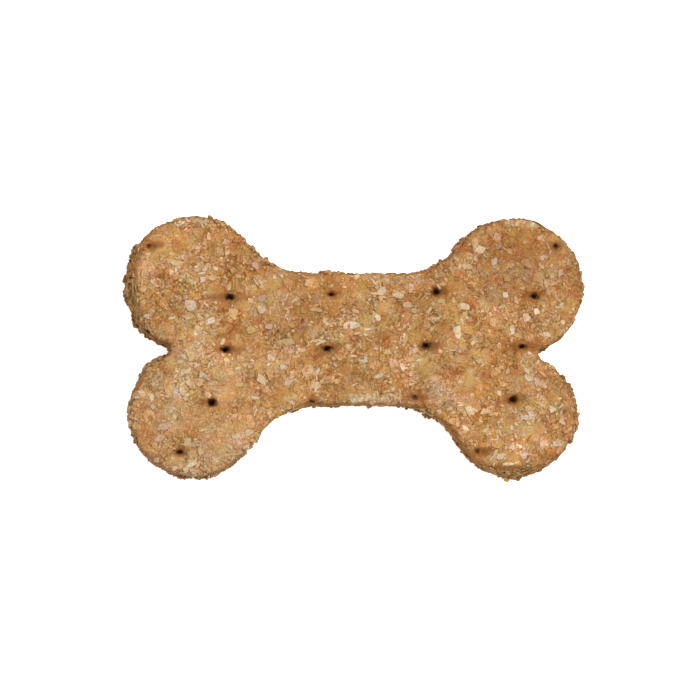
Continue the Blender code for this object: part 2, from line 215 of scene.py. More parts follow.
def edge_distance(x, y):
    """How far each point lies inside the outline, and the outward direction there.

    A point is measured to an arc, along the arc's radius, when its bearing from the centre
    falls in the arc's sweep, and to a waist edge when it is between the two shoulders. The
    nearest of these pieces counts.
    """
    nearest = np.full(np.shape(x), np.inf)
    outward = np.zeros(np.shape(x) + (2,))
    for centre_x, centre_y, radius, start, sweep, bulge in ARCS:
        away = np.stack((x - centre_x, y - centre_y), axis=-1)
        reach = np.maximum(np.hypot(away[..., 0], away[..., 1]), 1e-9)
        bearing = np.arctan2(away[..., 1], away[..., 0])
        turned = np.mod(math.copysign(1.0, sweep) * (bearing - start), 2 * math.pi)
        inside = bulge * (radius - reach)
        closer = (turned <= abs(sweep)) & (np.abs(inside) < np.abs(nearest))
        nearest = np.where(closer, inside, nearest)
        outward[closer] = (bulge * away / reach[..., None])[closer]
    above_right, above_left, below_left, below_right = (ARCS[k] for k in (1, 2, 6, 7))
    for left, right, inside, side in ((above_left, above_right, WAIST_TOP - y, 1.0),
                                      (below_left, below_right, y - WAIST_BOTTOM, -1.0)):
        closer = (x > left[0]) & (x < right[0]) & (np.abs(inside) < np.abs(nearest))
        nearest = np.where(closer, inside, nearest)
        outward[closer] = (0.0, side)
    return nearest, outward


probe = np.array((0.0, WAIST_TOP / 2, UPPER_LEFT[1]))
print("mm inside the edge at three heights of the waist:",
      (1000 * edge_distance(np.zeros(3), probe)[0]).round(2))

# %% [markdown]
# ## The rim's section
# From the side the slab has a nearly upright wall and a tight shoulder where the cutter
# pressed the dough down. The section is a curve of inset against height. A spline through a
# few measured points gives it, and also the direction in which the surface faces, which the
# relief needs further on. Under three stretches of the rim the dough slumped outward, so
# there the wall leans in more: the extra inset grows evenly from the foot to the shoulder.

# %% Section curve
THICKNESS = 0.0110
RIM_PROFILE = ((0.00015, 0.0000), (0.00000, 0.0012), (0.00004, 0.0035), (0.00012, 0.0060),
               (0.00022, 0.0085), (0.00036, 0.0100), (0.00064, 0.0106), (0.00135, 0.0109),
               (0.00270, 0.0110))
SHOULDER_INSET = 0.00064
# Where the wall leans more: x, y, how far round that reaches, and the extra inset
LEANING_WALLS = ((-0.0465, 0.0115, 0.0090, 0.0021), (0.0335, -0.0268, 0.0072, 0.0018),
                 (-0.0330, -0.0268, 0.0050, 0.0004))
LEAN_HEIGHTS = (0.0012, 0.0099)
SPLINE_STEPS = 40


def extra_lean(places):
    """Extra inset of the wall's top at points of the outline."""
    total = np.zeros(len(places))
    for x, y, reach, amount in LEANING_WALLS:
        away = (places[:, 0] - x) ** 2 + (places[:, 1] - y) ** 2
        total += amount * np.exp(-away / reach ** 2)
    return total


def wall_row(inset, height, step):
    """Points of the wall at a height, and the outward direction at each."""
    points, directions = outline(0.0, step)
    low, high = LEAN_HEIGHTS
    inset = inset + extra_lean(points) * np.clip((height - low) / (high - low), 0.0, 1.0)
    return points - inset[:, None] * directions, directions


def top_inset_at(x, y):
    """Inset on the upper surface in the section's own terms, and the outward direction."""
    inside, outward = edge_distance(x, y)
    foot = np.column_stack((x, y)) + inside[:, None] * outward
    return inside - extra_lean(foot), outward


def smooth_curve(knots, steps):
    """A curve through the knots: on each span a cubic whose end slopes are half the chord
    from the knot before to the knot after (Catmull and Rom's rule)."""
    knots = np.array(knots)
    padded = np.vstack((2 * knots[0] - knots[1], knots, 2 * knots[-1] - knots[-2]))
    t = (np.arange(steps) / steps)[None, :, None]
    a, b, c, d = (padded[k:len(padded) - 3 + k, None, :] for k in range(4))
    spans = b + 0.5 * t * (c - a + t * (2 * a - 5 * b + 4 * c - d + t * (3 * (b - c) + d - a)))
    return np.vstack((spans.reshape(-1, 2), knots[-1]))


section = smooth_curve(RIM_PROFILE, SPLINE_STEPS)
section_slope = unit(np.gradient(section, axis=0))
widest = int(np.argmin(section[:, 0]))
section_length = np.concatenate(([0.0], np.cumsum(np.hypot(*np.diff(section, axis=0).T))))


def over_the_top(inset, outward):
    """Height of the upper surface at each inset, and the direction in which it faces."""
    insets = section[widest:, 0]
    height = np.interp(inset, insets, section[widest:, 1])
    sideways = np.interp(inset, insets, section_slope[widest:, 1])
    upward = np.interp(inset, insets, section_slope[widest:, 0])
    return height, np.column_stack((sideways[:, None] * outward, upward))


print("section of", len(section), "points, widest at", round(1000 * section[widest, 1], 2), "mm up")

# %% [markdown]
# ## Docking holes
# Before baking, a bed of blunt pins is pressed through the sheet so that steam can leave.
# The pins stand in even rows, but each tears the coarse dough its own way: some holes stay
# round and black, some close up to a slit with a brown smear, and two fall on the waist's
# edge and break out. So each hole has its own place, mouth, smears and depth. Inside the
# mouth the dough first slopes down as a funnel and then drops as a shaft.

# %% Docking holes: x, y, width as in the solid, height to width, smears left and right, openness
DOCKING_HOLES = np.array((
    (-0.0420, 0.0201, 0.50, 0.80, 0.5, 1.5, 0.26), (0.0410, 0.0204, 0.60, 1.00, 0.7, 1.0, 0.38),
    (-0.0255, 0.0098, 1.05, 0.66, 2.0, 1.7, 0.80), (-0.0049, 0.0103, 0.85, 0.58, 0.7, 0.9, 0.50),
    (0.0165, 0.0109, 0.90, 0.86, 0.7, 1.1, 0.80), (0.0366, 0.0101, 0.95, 0.75, 1.4, 1.6, 0.85),
    (-0.0265, -0.0010, 1.05, 0.66, 1.2, 1.9, 0.90), (-0.0057, -0.0007, 1.00, 0.56, 1.4, 1.3, 0.80),
    (0.0144, 0.0000, 1.05, 0.70, 0.8, 1.8, 0.80), (0.0342, -0.0002, 0.90, 0.62, 1.4, 1.9, 0.75),
    (-0.0292, -0.0117, 1.05, 0.90, 1.5, 0.7, 0.90), (-0.0088, -0.0115, 0.65, 0.60, 0.7, 0.9, 0.52),
    (0.0122, -0.0107, 0.80, 0.70, 1.2, 1.4, 0.26), (0.0322, -0.0111, 1.05, 0.70, 1.4, 1.5, 0.80),
    (-0.0358, -0.0218, 0.80, 0.52, 0.6, 0.9, 0.52), (0.0249, -0.0216, 0.50, 1.20, 0.5, 1.9, 0.25),
))
HOLE_MOUTH = 0.00098
HOLE_DEPTH = 0.0075
HOLE_RINGS = (0.0, 0.30, 0.50, 0.60, 0.70, 0.80, 0.90, 1.02, 1.18, 1.40, 1.70)
HOLE_SPOKES = 24
SMEAR_LENGTH = 0.0018
SMEAR_WIDTH = 0.00100
TORN_CELL = 0.00045
TORN_SHARE = 0.36


def hole_reach(x, y):
    """Distance to the nearest hole in units of its mouth, how open it is, and the scorch.

    The scorch falls off as a bell curve of the distance, drawn out to the left and right
    by the hole's own smears.
    """
    nearest = np.full(np.shape(x), np.inf)
    openness, scorch = np.zeros(np.shape(x)), np.zeros(np.shape(x))
    for hole_x, hole_y, share, tall, left, right, open_share in DOCKING_HOLES:
        across, up = x - hole_x, y - hole_y
        reach = np.hypot(across, up / tall) / (HOLE_MOUTH * share)
        openness = np.where(reach < nearest, open_share, openness)
        nearest = np.minimum(nearest, reach)
        length = SMEAR_LENGTH * np.where(across < 0, left, right)
        bell = np.exp(-(across / length) ** 2 - (up / SMEAR_WIDTH) ** 2)
        scorch = np.maximum(scorch, bell)
    return nearest, openness, scorch


print(len(DOCKING_HOLES), "docking holes,", len(HOLE_RINGS) * HOLE_SPOKES, "points round each")

# %% [markdown]
# ## Relief of baked dough
# Coarse dough doesn't bake smooth: it heaves in slow swells, and bran and grit stand in it
# as small plates, each at its own level and tilt, with crevices where they meet. Noise
# textures could fake this in the material, but then the edge of the biscuit would stay
# smooth. Here the relief is real: random values on a lattice for the swells, and random
# cells in space for the plates, so that the same rule serves top and wall.

# %% Swells: random values on a flat lattice
LATTICE = 64
SWELL_HEIGHT, SWELL_CELL, SWELL_SEED = 0.00040, 0.0085, 5
CRAG_HEIGHT, CRAG_CELL, CRAG_SEED = 0.00030, 0.0028, 8
DIMPLE_DEPTH, DIMPLE_LENGTH, DIMPLE_WIDTH = 0.00055, 0.0016, 0.0009


def value_noise(x, y, cell, seed):
    """Smooth random heights from -1 to 1: a lattice of random values, eased in between."""
    lattice = np.random.default_rng(seed).uniform(-1.0, 1.0, (LATTICE, LATTICE))
    i, j = np.floor(x / cell).astype(int), np.floor(y / cell).astype(int)
    u, v = x / cell - i, y / cell - j
    u, v = u * u * (3 - 2 * u), v * v * (3 - 2 * v)
    i, j, right, above = i % LATTICE, j % LATTICE, (i + 1) % LATTICE, (j + 1) % LATTICE
    low = lattice[i, j] * (1 - u) + lattice[right, j] * u
    high = lattice[i, above] * (1 - u) + lattice[right, above] * u
    return low * (1 - v) + high * v


def top_relief(x, y):
    """Height added to the flat top: slow swells, fine crags, a dimple round each hole."""
    height = SWELL_HEIGHT * value_noise(x, y, SWELL_CELL, SWELL_SEED)
    height += CRAG_HEIGHT * value_noise(x, y, CRAG_CELL, CRAG_SEED)
    for hole_x, hole_y, share in DOCKING_HOLES[:, :3]:
        reach = ((x - hole_x) / DIMPLE_LENGTH) ** 2 + ((y - hole_y) / DIMPLE_WIDTH) ** 2
        height -= share * DIMPLE_DEPTH * np.exp(-reach / 2)
    return height


# %% Plates: random cells in space
NEIGHBOURS = np.array(list(itertools.product((-1, 0, 1), repeat=3)))
INDEX_PRIMES = (73856093, 19349663, 83492791)
SEED_PRIME = 2654435761
STIR_PRIME = 2246822519
WORD = 0xFFFFFFFF


def cell_value(cells, seed):
    """A random value from 0 to 1 for each lattice cell.

    The cell's three indices are multiplied by large primes, combined bit by bit with the
    seed, and stirred, so the same cell always gets the same value.
    """
    i, j, k = cells.T.astype(np.int64)
    mixed = (i * INDEX_PRIMES[0]) ^ (j * INDEX_PRIMES[1]) ^ (k * INDEX_PRIMES[2])
    mixed = (mixed ^ (seed * SEED_PRIME)) & WORD
    for shift in (15, 13, 16):
        mixed = ((mixed ^ (mixed >> shift)) * STIR_PRIME) & WORD
    return (mixed ^ (mixed >> 16)) / WORD


def nearest_cell(points, size, seed):
    """The random cell that each point belongs to.

    Each lattice cube holds one kernel at a random place, and a point belongs to the nearest
    kernel. The result is the distance to it, to the next nearest, the offset, and the cube.
    """
    home = np.floor(points / size).astype(np.int64)
    first = np.full(len(points), np.inf)
    second = first.copy()
    offset, cube = np.zeros_like(points), np.zeros_like(home)
    for step in NEIGHBOURS:
        other = home + step
        kernel = np.column_stack([cell_value(other, seed + axis) for axis in range(3)])
        away = points - (other + kernel) * size
        distance = np.linalg.norm(away, axis=1)
        second = np.minimum(second, np.maximum(distance, first))
        nearer = distance < first
        first = np.where(nearer, distance, first)
        offset[nearer], cube[nearer] = away[nearer], other[nearer]
    return first, second, offset, cube


PLATE_EDGE = 0.14
# Cell size, step, slope and seed of each layer of plates, coarse to fine
PLATE_LAYERS = ((0.0023, 0.000085, 0.09, 31), (0.0010, 0.000070, 0.18, 47),
                (0.00055, 0.000045, 0.26, 61))


def plates(points, size, step, slope, seed):
    """Relief of plates: a random level and a random tilt for each cell.

    Also gives how near a point is to its plate's edge, 1 on it and 0 well inside, and a
    random value of the plate.
    """
    first, second, offset, cube = nearest_cell(points, size, seed)
    level = 2 * cell_value(cube, seed + 11) - 1
    tilt = np.column_stack([2 * cell_value(cube, seed + axis) - 1 for axis in (12, 13, 14)])
    edge = np.clip(1 - (second - first) / (PLATE_EDGE * size), 0, 1)
    return step * level + slope * (tilt * offset).sum(axis=1), edge, cell_value(cube, seed + 15)


WALL_ROUGHER = 1.2
CREVICE_DEPTH = 0.00016
CREVICE_CELL, CREVICE_SEED, CREVICE_MEAN, CREVICE_SWING = 0.0050, 3, 0.75, 0.5
# The share of plates that have no crevice round them
WHOLE_PLATES = 0.45
# How much of its relief and of its crevices a patch of bare dough loses
CALM_RELIEF, CALM_CREVICES = 0.45, 0.70


def fine_relief(points, wall, calm):
    """Relief along the surface's facing, more on the wall, and how deep in a crevice it is."""
    rough = (1 + (WALL_ROUGHER - 1) * wall) * (1 - CALM_RELIEF * calm)
    total = np.zeros(len(points))
    crevice = np.zeros(len(points))
    for size, step, slope, seed in PLATE_LAYERS:
        height, edge, value = plates(points, size, step, slope, seed)
        total += rough * height
        crevice = np.maximum(crevice, edge * (value > WHOLE_PLATES))
    patch = value_noise(points[:, 0], points[:, 1] - points[:, 2], CREVICE_CELL, CREVICE_SEED)
    crevice *= np.clip(CREVICE_MEAN + CREVICE_SWING * patch, 0, 1) * (1 - CALM_CREVICES * calm)
    return total - CREVICE_DEPTH * crevice, crevice


# %% [markdown]
# ## Patches of the crust
# The bran is unevenly kneaded in and the heat uneven. Some patches are bare golden dough, some
# are browned to rust and some are dense with pinkish husk; one lobe is paler and one browner,
# and raw flour is left along the rim. They are named here once, by the pixels of the camera's
# frame that they lie under, and then steer relief, colour and where bran falls.

# %% Patches: pixels across and down, and reach in mm
BARE_DOUGH = (
    (160, 242, 2.0), (186, 240, 1.6), (183, 259, 1.2), (215, 237, 1.5), (215, 289, 1.6), (192, 332, 1.6),
    (243, 306, 1.3), (273, 283, 1.5), (313, 283, 1.5), (134, 285, 1.6), (134, 265, 1.4), (525, 244, 1.9),
    (528, 228, 1.5), (451, 308, 1.6), (415, 318, 1.8), (362, 293, 1.8), (385, 307, 1.2), (425, 302, 1.3),
    (549, 305, 1.6), (565, 310, 1.4), (454, 282, 1.8), (514, 233, 1.2), (470, 233, 1.1), (555, 237, 1.0),
    (487, 267, 1.0), (366, 325, 1.5), (444, 329, 1.2), (418, 336, 1.3), (505, 427, 2.4), (537, 430, 1.8),
    (425, 367, 2.2), (467, 383, 1.8), (513, 459, 1.5), (520, 470, 1.6), (559, 443, 1.0), (372, 395, 1.2),
    (554, 395, 1.3), (171, 363, 1.3), (168, 383, 1.3), (178, 402, 1.5), (228, 396, 1.2), (245, 424, 2.4),
    (225, 410, 1.2), (151, 427, 1.3), (218, 448, 1.6), (175, 461, 1.7), (278, 367, 1.5), (283, 395, 1.6),
    (217, 373, 1.4), (309, 363, 1.1), (260, 364, 1.2), (340, 300, 1.2), (345, 372, 1.5), (399, 385, 1.4),
    (127, 262, 2.2), (126, 282, 2.4), (127, 302, 2.0),
)
RUSTY = (
    (177, 246, 1.0), (225, 308, 1.3), (193, 339, 1.0), (233, 327, 0.9), (303, 330, 1.2), (259, 319, 1.0),
    (225, 238, 0.8), (259, 268, 0.9), (190, 222, 0.9), (452, 372, 2.6), (487, 375, 1.2), (550, 456, 0.9),
    (387, 362, 0.7), (574, 415, 0.9), (462, 246, 1.2), (500, 277, 1.6), (470, 306, 1.4), (477, 318, 1.2),
    (521, 306, 1.0), (384, 340, 1.7), (563, 316, 1.0), (355, 340, 1.2), (515, 289, 0.9), (448, 252, 1.0),
    (169, 372, 1.0), (316, 356, 1.0), (331, 372, 0.8), (231, 408, 0.9), (190, 428, 0.9), (247, 380, 0.9),
    (155, 438, 0.9), (263, 424, 0.8), (167, 350, 1.0), (223, 368, 0.7), (128, 258, 0.9), (134, 232, 0.9),
)
HUSKY = (
    (149, 274, 1.8), (200, 242, 1.0), (172, 300, 0.7), (438, 392, 2.6), (465, 400, 1.8), (514, 382, 1.6),
    (541, 380, 1.2), (529, 274, 1.0), (478, 270, 1.0), (158, 382, 1.2), (168, 428, 1.3), (159, 441, 1.2),
    (207, 457, 1.3), (450, 398, 1.5), (540, 436, 1.2), (313, 330, 1.4), (480, 250, 1.6), (290, 345, 1.6),
    (240, 436, 1.4), (212, 384, 1.2), (175, 396, 1.3), (230, 418, 1.2), (152, 405, 1.2), (202, 445, 1.2),
)
PALE_SIDE = ((205, 425, 14.0),)
BROWNED_SIDE = ((535, 275, 13.0), (580, 418, 4.0))
# Raw flour left on the rim
FLOURY = (
    (182, 222, 0.9), (188, 221, 1.0), (194, 220, 1.1), (200, 220, 1.1), (206, 221, 0.8), (510, 222, 0.8),
    (516, 221, 0.9), (522, 221, 1.1), (528, 222, 1.0), (534, 224, 0.8), (354, 400, 0.7), (361, 399, 0.7),
    (368, 399, 0.8), (375, 399, 0.8), (382, 399, 0.7), (389, 399, 0.8), (396, 400, 0.7), (185, 474, 0.9),
    (194, 474, 1.0), (560, 445, 1.0), (505, 476, 0.8), (520, 477, 0.8),
)
# Each kind: its places, its colour, and how strongly that covers dough and then bran
PATCHES = {
    "bare": (BARE_DOUGH, "yellow_meal", 0.25, 0.0), "rusty": (RUSTY, "rust", 0.82, 0.68),
    "husky": (HUSKY, "husk", 0.42, 0.6), "pale": (PALE_SIDE, "milky", 0.46, 0.42),
    "browned": (BROWNED_SIDE, "dark_bake_and_seam_shade", 0.50, 0.44), "floury": (FLOURY, "flour", 0.75, 0.75),
}
PATCH_AXES = (1, 1, 1 / 3)
RIM_BROWNING = 0.0017


def patch_share(spots, points):
    """How far each point lies within the named patches: 1 at a middle, falling as a bell.

    The bell is exp(-(distance / reach) ** 3) from the nearest middle. Height counts for a
    third in the distance, so a patch at the rim also runs a little way down the wall.
    """
    across, down, reach = np.array(spots).T
    middles = under_pixel(across, down, THICKNESS)
    nearest = np.full(len(points), np.inf)
    for middle, size in zip(middles, reach / 1000):
        away = (points - middle) * PATCH_AXES / size
        nearest = np.minimum(nearest, (away ** 2).sum(axis=1))
    return np.exp(-nearest ** 1.5)


def rim_share(points):
    """How near each point is to the rim, which bakes browner: 1 on the wall, falling inward."""
    inset = np.maximum(top_inset_at(points[:, 0], points[:, 1])[0], 0.0)
    return np.exp(-(inset / RIM_BROWNING) ** 2)


print({kind: len(spots) for kind, (spots, *_) in PATCHES.items()}, "patches")

# %% [markdown]
# ## The slab as one closed surface
# The wall is the section carried along the outline, so it is a grid: one way along the
# outline and the other way up the section. The top has no such grid, because the bone's end
# notches pinch any rows that would run through it. Its points are a lattice of triangles
# inside the shoulder line with finer rings round the holes, each point raised by the height
# formulas above, and Blender's constrained Delaunay routine joins them to the wall's last
# row. The underside is flat and needs only a coarse lattice.

# %% Wall rows
OUTLINE_STEP = 0.00028
WALL_ROWS = 30

ring, ring_outward = outline(0.0, OUTLINE_STEP)
spans = section_length[np.argmin(np.abs(section[:, 0] - SHOULDER_INSET)
                                 + (np.arange(len(section)) < widest))]
row_length = np.linspace(0.0, spans, WALL_ROWS + 1)
row_inset, row_height, row_upward, row_sideways = (
    np.interp(row_length, section_length, column)
    for column in np.column_stack((section, section_slope)).T)
wall_points = np.concatenate([
    np.column_stack((wall_row(inset, height, OUTLINE_STEP)[0], np.full(len(ring), height)))
    for inset, height in zip(row_inset, row_height)])
wall_facing = np.concatenate([np.column_stack((side * ring_outward, np.full(len(ring), up)))
                              for side, up in zip(row_sideways, row_upward)])
print(len(ring), "points round the outline,", WALL_ROWS + 1, "rows, last inset",
      round(1000 * row_inset[-1], 2), "mm")

# %% Top and underside points
TOP_STEP = 0.00031
UNDERSIDE_STEP = 0.0016
# Room left beside the shoulder line, in steps of the lattice, and round a hole, in its mouths
RING_CLEARANCE, HOLE_CLEARANCE = 0.55, 0.275
LATTICE_MARGIN = 0.0005
HOLE_SEED, HOLE_TURN, HOLE_RAGGED = 4, 0.2, 0.04


def triangle_lattice(step):
    """Points of an even triangle lattice over the whole outline and a little beyond."""
    reach_x, reach_y = np.abs(ring).max(axis=0) + LATTICE_MARGIN
    rows = np.arange(-reach_y, reach_y, step * math.sqrt(3) / 2)
    columns = np.arange(-reach_x, reach_x, step)
    x, y = np.meshgrid(columns, rows)
    x[1::2] += step / 2
    return np.column_stack((x.ravel(), y.ravel()))


def hole_points():
    """Rings of points round each hole's centre, shaken a little so that the mouth is ragged."""
    rng = np.random.default_rng(HOLE_SEED)
    angle = 2 * math.pi * np.arange(HOLE_SPOKES) / HOLE_SPOKES
    spots = []
    for x, y, share, tall in DOCKING_HOLES[:, :4]:
        spots.append(((x, y),))
        for reach in HOLE_RINGS[1:]:
            turn = angle + rng.uniform(0, HOLE_TURN)
            ragged = rng.uniform(-HOLE_RAGGED, HOLE_RAGGED, HOLE_SPOKES)
            radius = HOLE_MOUTH * share * reach * (1 + ragged)
            spots.append(np.column_stack((x + radius * np.cos(turn), y + tall * radius * np.sin(turn))))
    return np.concatenate(spots)


shoulder_line = wall_points[-len(ring):, :2]
top_spots = triangle_lattice(TOP_STEP)
top_spots = top_spots[hole_reach(*top_spots.T)[0] > HOLE_RINGS[-1] + HOLE_CLEARANCE]
top_spots = np.concatenate((top_spots, hole_points()))
top_spots = top_spots[top_inset_at(*top_spots.T)[0] > SHOULDER_INSET + RING_CLEARANCE * TOP_STEP]
base_line = wall_points[:len(ring), :2]
base_spots = triangle_lattice(UNDERSIDE_STEP)
base_spots = base_spots[edge_distance(*base_spots.T)[0] > row_inset[0] + UNDERSIDE_STEP / 2]
print(len(top_spots), "points on the top,", len(base_spots), "underneath")


# %% Join the points into triangles
JOIN_GAP = 1e-6


def fill(border, spots):
    """Triangles between a closed border and the points inside it, as rows of point numbers.

    The routine gets millimetres, and would join points that lie nearer than the gap.
    """
    count = len(border)
    fence = [(k, (k + 1) % count) for k in range(count)]
    places = 1000 * np.concatenate((border, spots))
    joined = delaunay_2d_cdt(places.tolist(), fence, [], 1, JOIN_GAP)
    if len(joined[0]) != len(places):
        raise ValueError("two points of the lattice fell together")
    return np.array(joined[2])


ring_count = len(ring)
along, up = np.meshgrid(np.arange(ring_count), np.arange(WALL_ROWS))
after = (along + 1) % ring_count
corners = np.stack((up * ring_count + along, up * ring_count + after,
                    (up + 1) * ring_count + after, (up + 1) * ring_count + along), axis=-1).reshape(-1, 4)
wall_faces = np.concatenate((corners[:, (0, 1, 2)], corners[:, (0, 2, 3)]))

wall_count = len(wall_points)
top_faces = fill(shoulder_line, top_spots) + wall_count - ring_count
base_faces = fill(base_line, base_spots)[:, ::-1]
base_faces = np.where(base_faces < ring_count, base_faces,
                      base_faces - ring_count + wall_count + len(top_spots))
dough_faces = np.concatenate((wall_faces, top_faces, base_faces))
print("triangles: wall", len(wall_faces), "top", len(top_faces), "underside", len(base_faces))

# %% Raise the points and add the relief
RIM_MARGIN = 0.0016
FOOT_HEIGHT = 0.0007
# Where funnel, shaft and the holes' painted shade begin and are at their full, in units of the mouth
FUNNEL = (1.20, 0.45)
SHAFT = (0.54, 0.28)
HOLE_SHADE = (1.15, 0.30)
FUNNEL_DEPTH = 0.0009
FUNNEL_CURVE, SHAFT_CURVE = 1.5, 0.7
HOLE_TAPER = 0.0015
# A hole's painted shade is this gain times its openness, less the start
HOLE_SHADE_GAIN, HOLE_SHADE_START = 2.2, 0.4

top_inset, top_outward = top_inset_at(*top_spots.T)
top_level, top_facing = over_the_top(top_inset, top_outward)
smooth_points = np.concatenate((wall_points, np.column_stack((top_spots, top_level)),
                                np.column_stack((base_spots, np.zeros(len(base_spots))))))
facing = unit(np.concatenate((wall_facing, top_facing,
                              np.repeat(((0.0, 0.0, -1.0),), len(base_spots), axis=0))))


def raise_relief(points, facing):
    """Slow relief as in the solid, then plates and crevices along the facing, then holes, and the share of
    painted shade in each hole.
    """
    x, y, z = points.T
    upper = np.clip(2 * z / THICKNESS - 1.0, 0.0, 1.0)
    inset, outward = edge_distance(x, y)
    rim = np.clip(1.0 - np.abs(inset) / RIM_MARGIN, 0.0, 1.0)
    off_base = np.clip(z / FOOT_HEIGHT, 0.0, 1.0)
    crags = off_base * rim * CRAG_HEIGHT * value_noise(x + z, y - z, CRAG_CELL, CRAG_SEED)
    raised = points.copy()
    raised[:, 2] += upper * top_relief(x, y)
    raised[:, :2] += crags[:, None] * outward
    wall = np.clip(1.0 - facing[:, 2], 0.0, 1.0)
    fine, crevice = fine_relief(points, wall, patch_share(BARE_DOUGH, points) * upper)
    raised += (off_base * fine)[:, None] * facing
    reach, openness, scorch = hole_reach(x, y)
    reach = reach * (1 + TORN_SHARE * value_noise(x, y, TORN_CELL, HOLE_SEED))

    def within(limits):
        return np.clip((limits[0] - reach) / (limits[0] - limits[1]), 0.0, 1.0)

    depth = HOLE_DEPTH - HOLE_TAPER * np.clip(reach / SHAFT[1], 0, 1)
    sunk = (FUNNEL_DEPTH * within(FUNNEL) ** FUNNEL_CURVE
            + openness ** 2 * within(SHAFT) ** SHAFT_CURVE * depth)
    raised[:, 2] -= upper * sunk
    # Share of painted shade in a hole, growing towards the shaft and with the hole's openness
    burnt_and_hole_shade = within(HOLE_SHADE) * np.clip(HOLE_SHADE_GAIN * openness - HOLE_SHADE_START, 0.0, 1.0)
    return raised, crevice * off_base, scorch * upper, burnt_and_hole_shade * upper


dough_points, dough_crevice, dough_scorch, dough_shaft = raise_relief(smooth_points, facing)
print("dough from", (1000 * dough_points.min(axis=0)).round(2), "to",
      (1000 * dough_points.max(axis=0)).round(2), "mm")


# %% A mesh from arrays
def build_mesh(name, points, faces, smooth):
    """An object whose mesh holds the given points and equally sided faces."""
    mesh = bpy.data.meshes.new(name)
    sides = faces.shape[1]
    mesh.vertices.add(len(points))
    mesh.vertices.foreach_set("co", np.ascontiguousarray(points, dtype=np.float32).ravel())
    mesh.loops.add(faces.size)
    mesh.loops.foreach_set("vertex_index", faces.ravel().astype(np.int32))
    mesh.polygons.add(len(faces))
    mesh.polygons.foreach_set("loop_start", np.arange(0, faces.size, sides, dtype=np.int32))
    mesh.polygons.foreach_set("use_smooth", np.full(len(faces), smooth))
    mesh.update(calc_edges=True)
    mesh.validate()
    piece = bpy.data.objects.new(name, mesh)
    bpy.context.scene.collection.objects.link(piece)
    return piece


def give_value(piece, name, values):
    """Store one number for each point under a name that materials can read."""
    attribute = piece.data.attributes.new(name, "FLOAT", "POINT")
    attribute.data.foreach_set("value", np.asarray(values, dtype=np.float32))


dough = build_mesh("dough", dough_points, dough_faces, True)
dough_values = {"crevice": dough_crevice, "scorch": dough_scorch, "shaft": dough_shaft,
                "wall": np.clip(1.0 - facing[:, 2], 0, 1), "rim": rim_share(dough_points)}
dough_values |= {kind: patch_share(spots, dough_points) for kind, (spots, *_) in PATCHES.items()}
for kind, values in dough_values.items():
    give_value(dough, kind, values)
dough_normals = np.empty(len(dough_points) * 3, dtype=np.float32)
dough.data.vertices.foreach_get("normal", dough_normals)
dough_normals = dough_normals.reshape(-1, 3).astype(float)
print("dough:", len(dough.data.polygons), "triangles")

# %% [markdown]
# ## Colours of bran and dough
# Bran isn't one colour. A broken wheat or oat husk is cream inside and pink-tan outside,
# the meal between is ochre, and here and there a piece has baked to orange or red-brown.
# Each kind of piece picks from one list of named colours by weight, and then each single
# piece is made a little lighter or darker, so that no two match.

# %% Palette
PALETTE = {
    "cream": (217, 191, 152), "chalk": (208, 186, 158), "pink_beige": (206, 176, 146),
    "tan": (203, 169, 118), "ochre": (196, 154, 86), "rose": (180, 143, 114),
    "orange": (190, 118, 54), "red_brown": (156, 94, 54), "brown": (120, 80, 44),
    "baked": (192, 141, 83), "yellow_meal": (202, 158, 88), "rosy_meal": (188, 134, 90),
    "pale_meal": (216, 169, 115), "light_meal": (206, 157, 101), "dark_meal": (166, 115, 60),
    # Painted shade: the crevice colour darkens crevices, the darkest brown and the core colour darken the
    # docking holes' depth, and the dark baked brown darkens the cells' grooves; those two browns also serve
    # as real browning and scorch
    "dark_bake_and_seam_shade": (158, 102, 52), "gap": (116, 64, 26), "smear": (142, 86, 38), "burnt_and_hole_shade": (94, 54, 24),
    "rust": (176, 106, 50), "husk": (206, 170, 142), "flour": (232, 210, 170), "deep_hole_shade": (124, 92, 62),
    "milky": (226, 190, 142), "side_bake": (160, 109, 40), "side_foot": (186, 136, 72),
}
# How bright white paper would show on the level top, in red, green and blue, where the
# picture's own white is 1
LIGHT_ON_TOP = np.array((1.32, 1.30, 1.25))
# A lighter or darker piece changes most in blue and least in red, as browned flour does
TONE_CHANNELS = np.array((0.75, 1.0, 1.5))
TONE_SPREAD = 0.08
# How strongly the rim's brown covers dough, bran at the rim, and bran low on the wall besides
RIM_ON_DOUGH, RIM_ON_BRAN, LOW_ON_BRAN = 0.26, 0.18, 0.50
LOW_FROM = 1.4
# How much red, green and blue count in how light a colour is
LIGHTNESS = np.array((0.21, 0.72, 0.07))


def linear(colour):
    """Surface colour that shows as the given 8-bit colour under the light on the top.

    The picture's curve is undone first: ((share + 0.055) / 1.055) ** 2.4, and share / 12.92
    in the darkest part.
    """
    share = np.array(colour, dtype=float) / 255
    return np.where(share > 0.04045, ((share + 0.055) / 1.055) ** 2.4, share / 12.92) / LIGHT_ON_TOP


def pick_colours(count, weights, rng, own_hue=1.0):
    """A colour for each of many pieces, chosen by weight and then toned.

    Fine bran shows less of its own hue than of the dough's, so a part of each colour is
    the dough's, made as light or dark as the piece.
    """
    names = list(weights)
    chance = np.array([weights[name] for name in names], dtype=float)
    choice = rng.choice(len(names), count, p=chance / chance.sum())
    colours = np.array([linear(PALETTE[name]) for name in names])[choice]
    dough = linear(PALETTE["baked"])
    tone = (colours @ LIGHTNESS / (dough @ LIGHTNESS))[:, None]
    colours = own_hue * colours + (1 - own_hue) * dough * tone ** TONE_CHANNELS
    return colours * np.exp(rng.normal(0.0, TONE_SPREAD, (count, 1)) * TONE_CHANNELS)


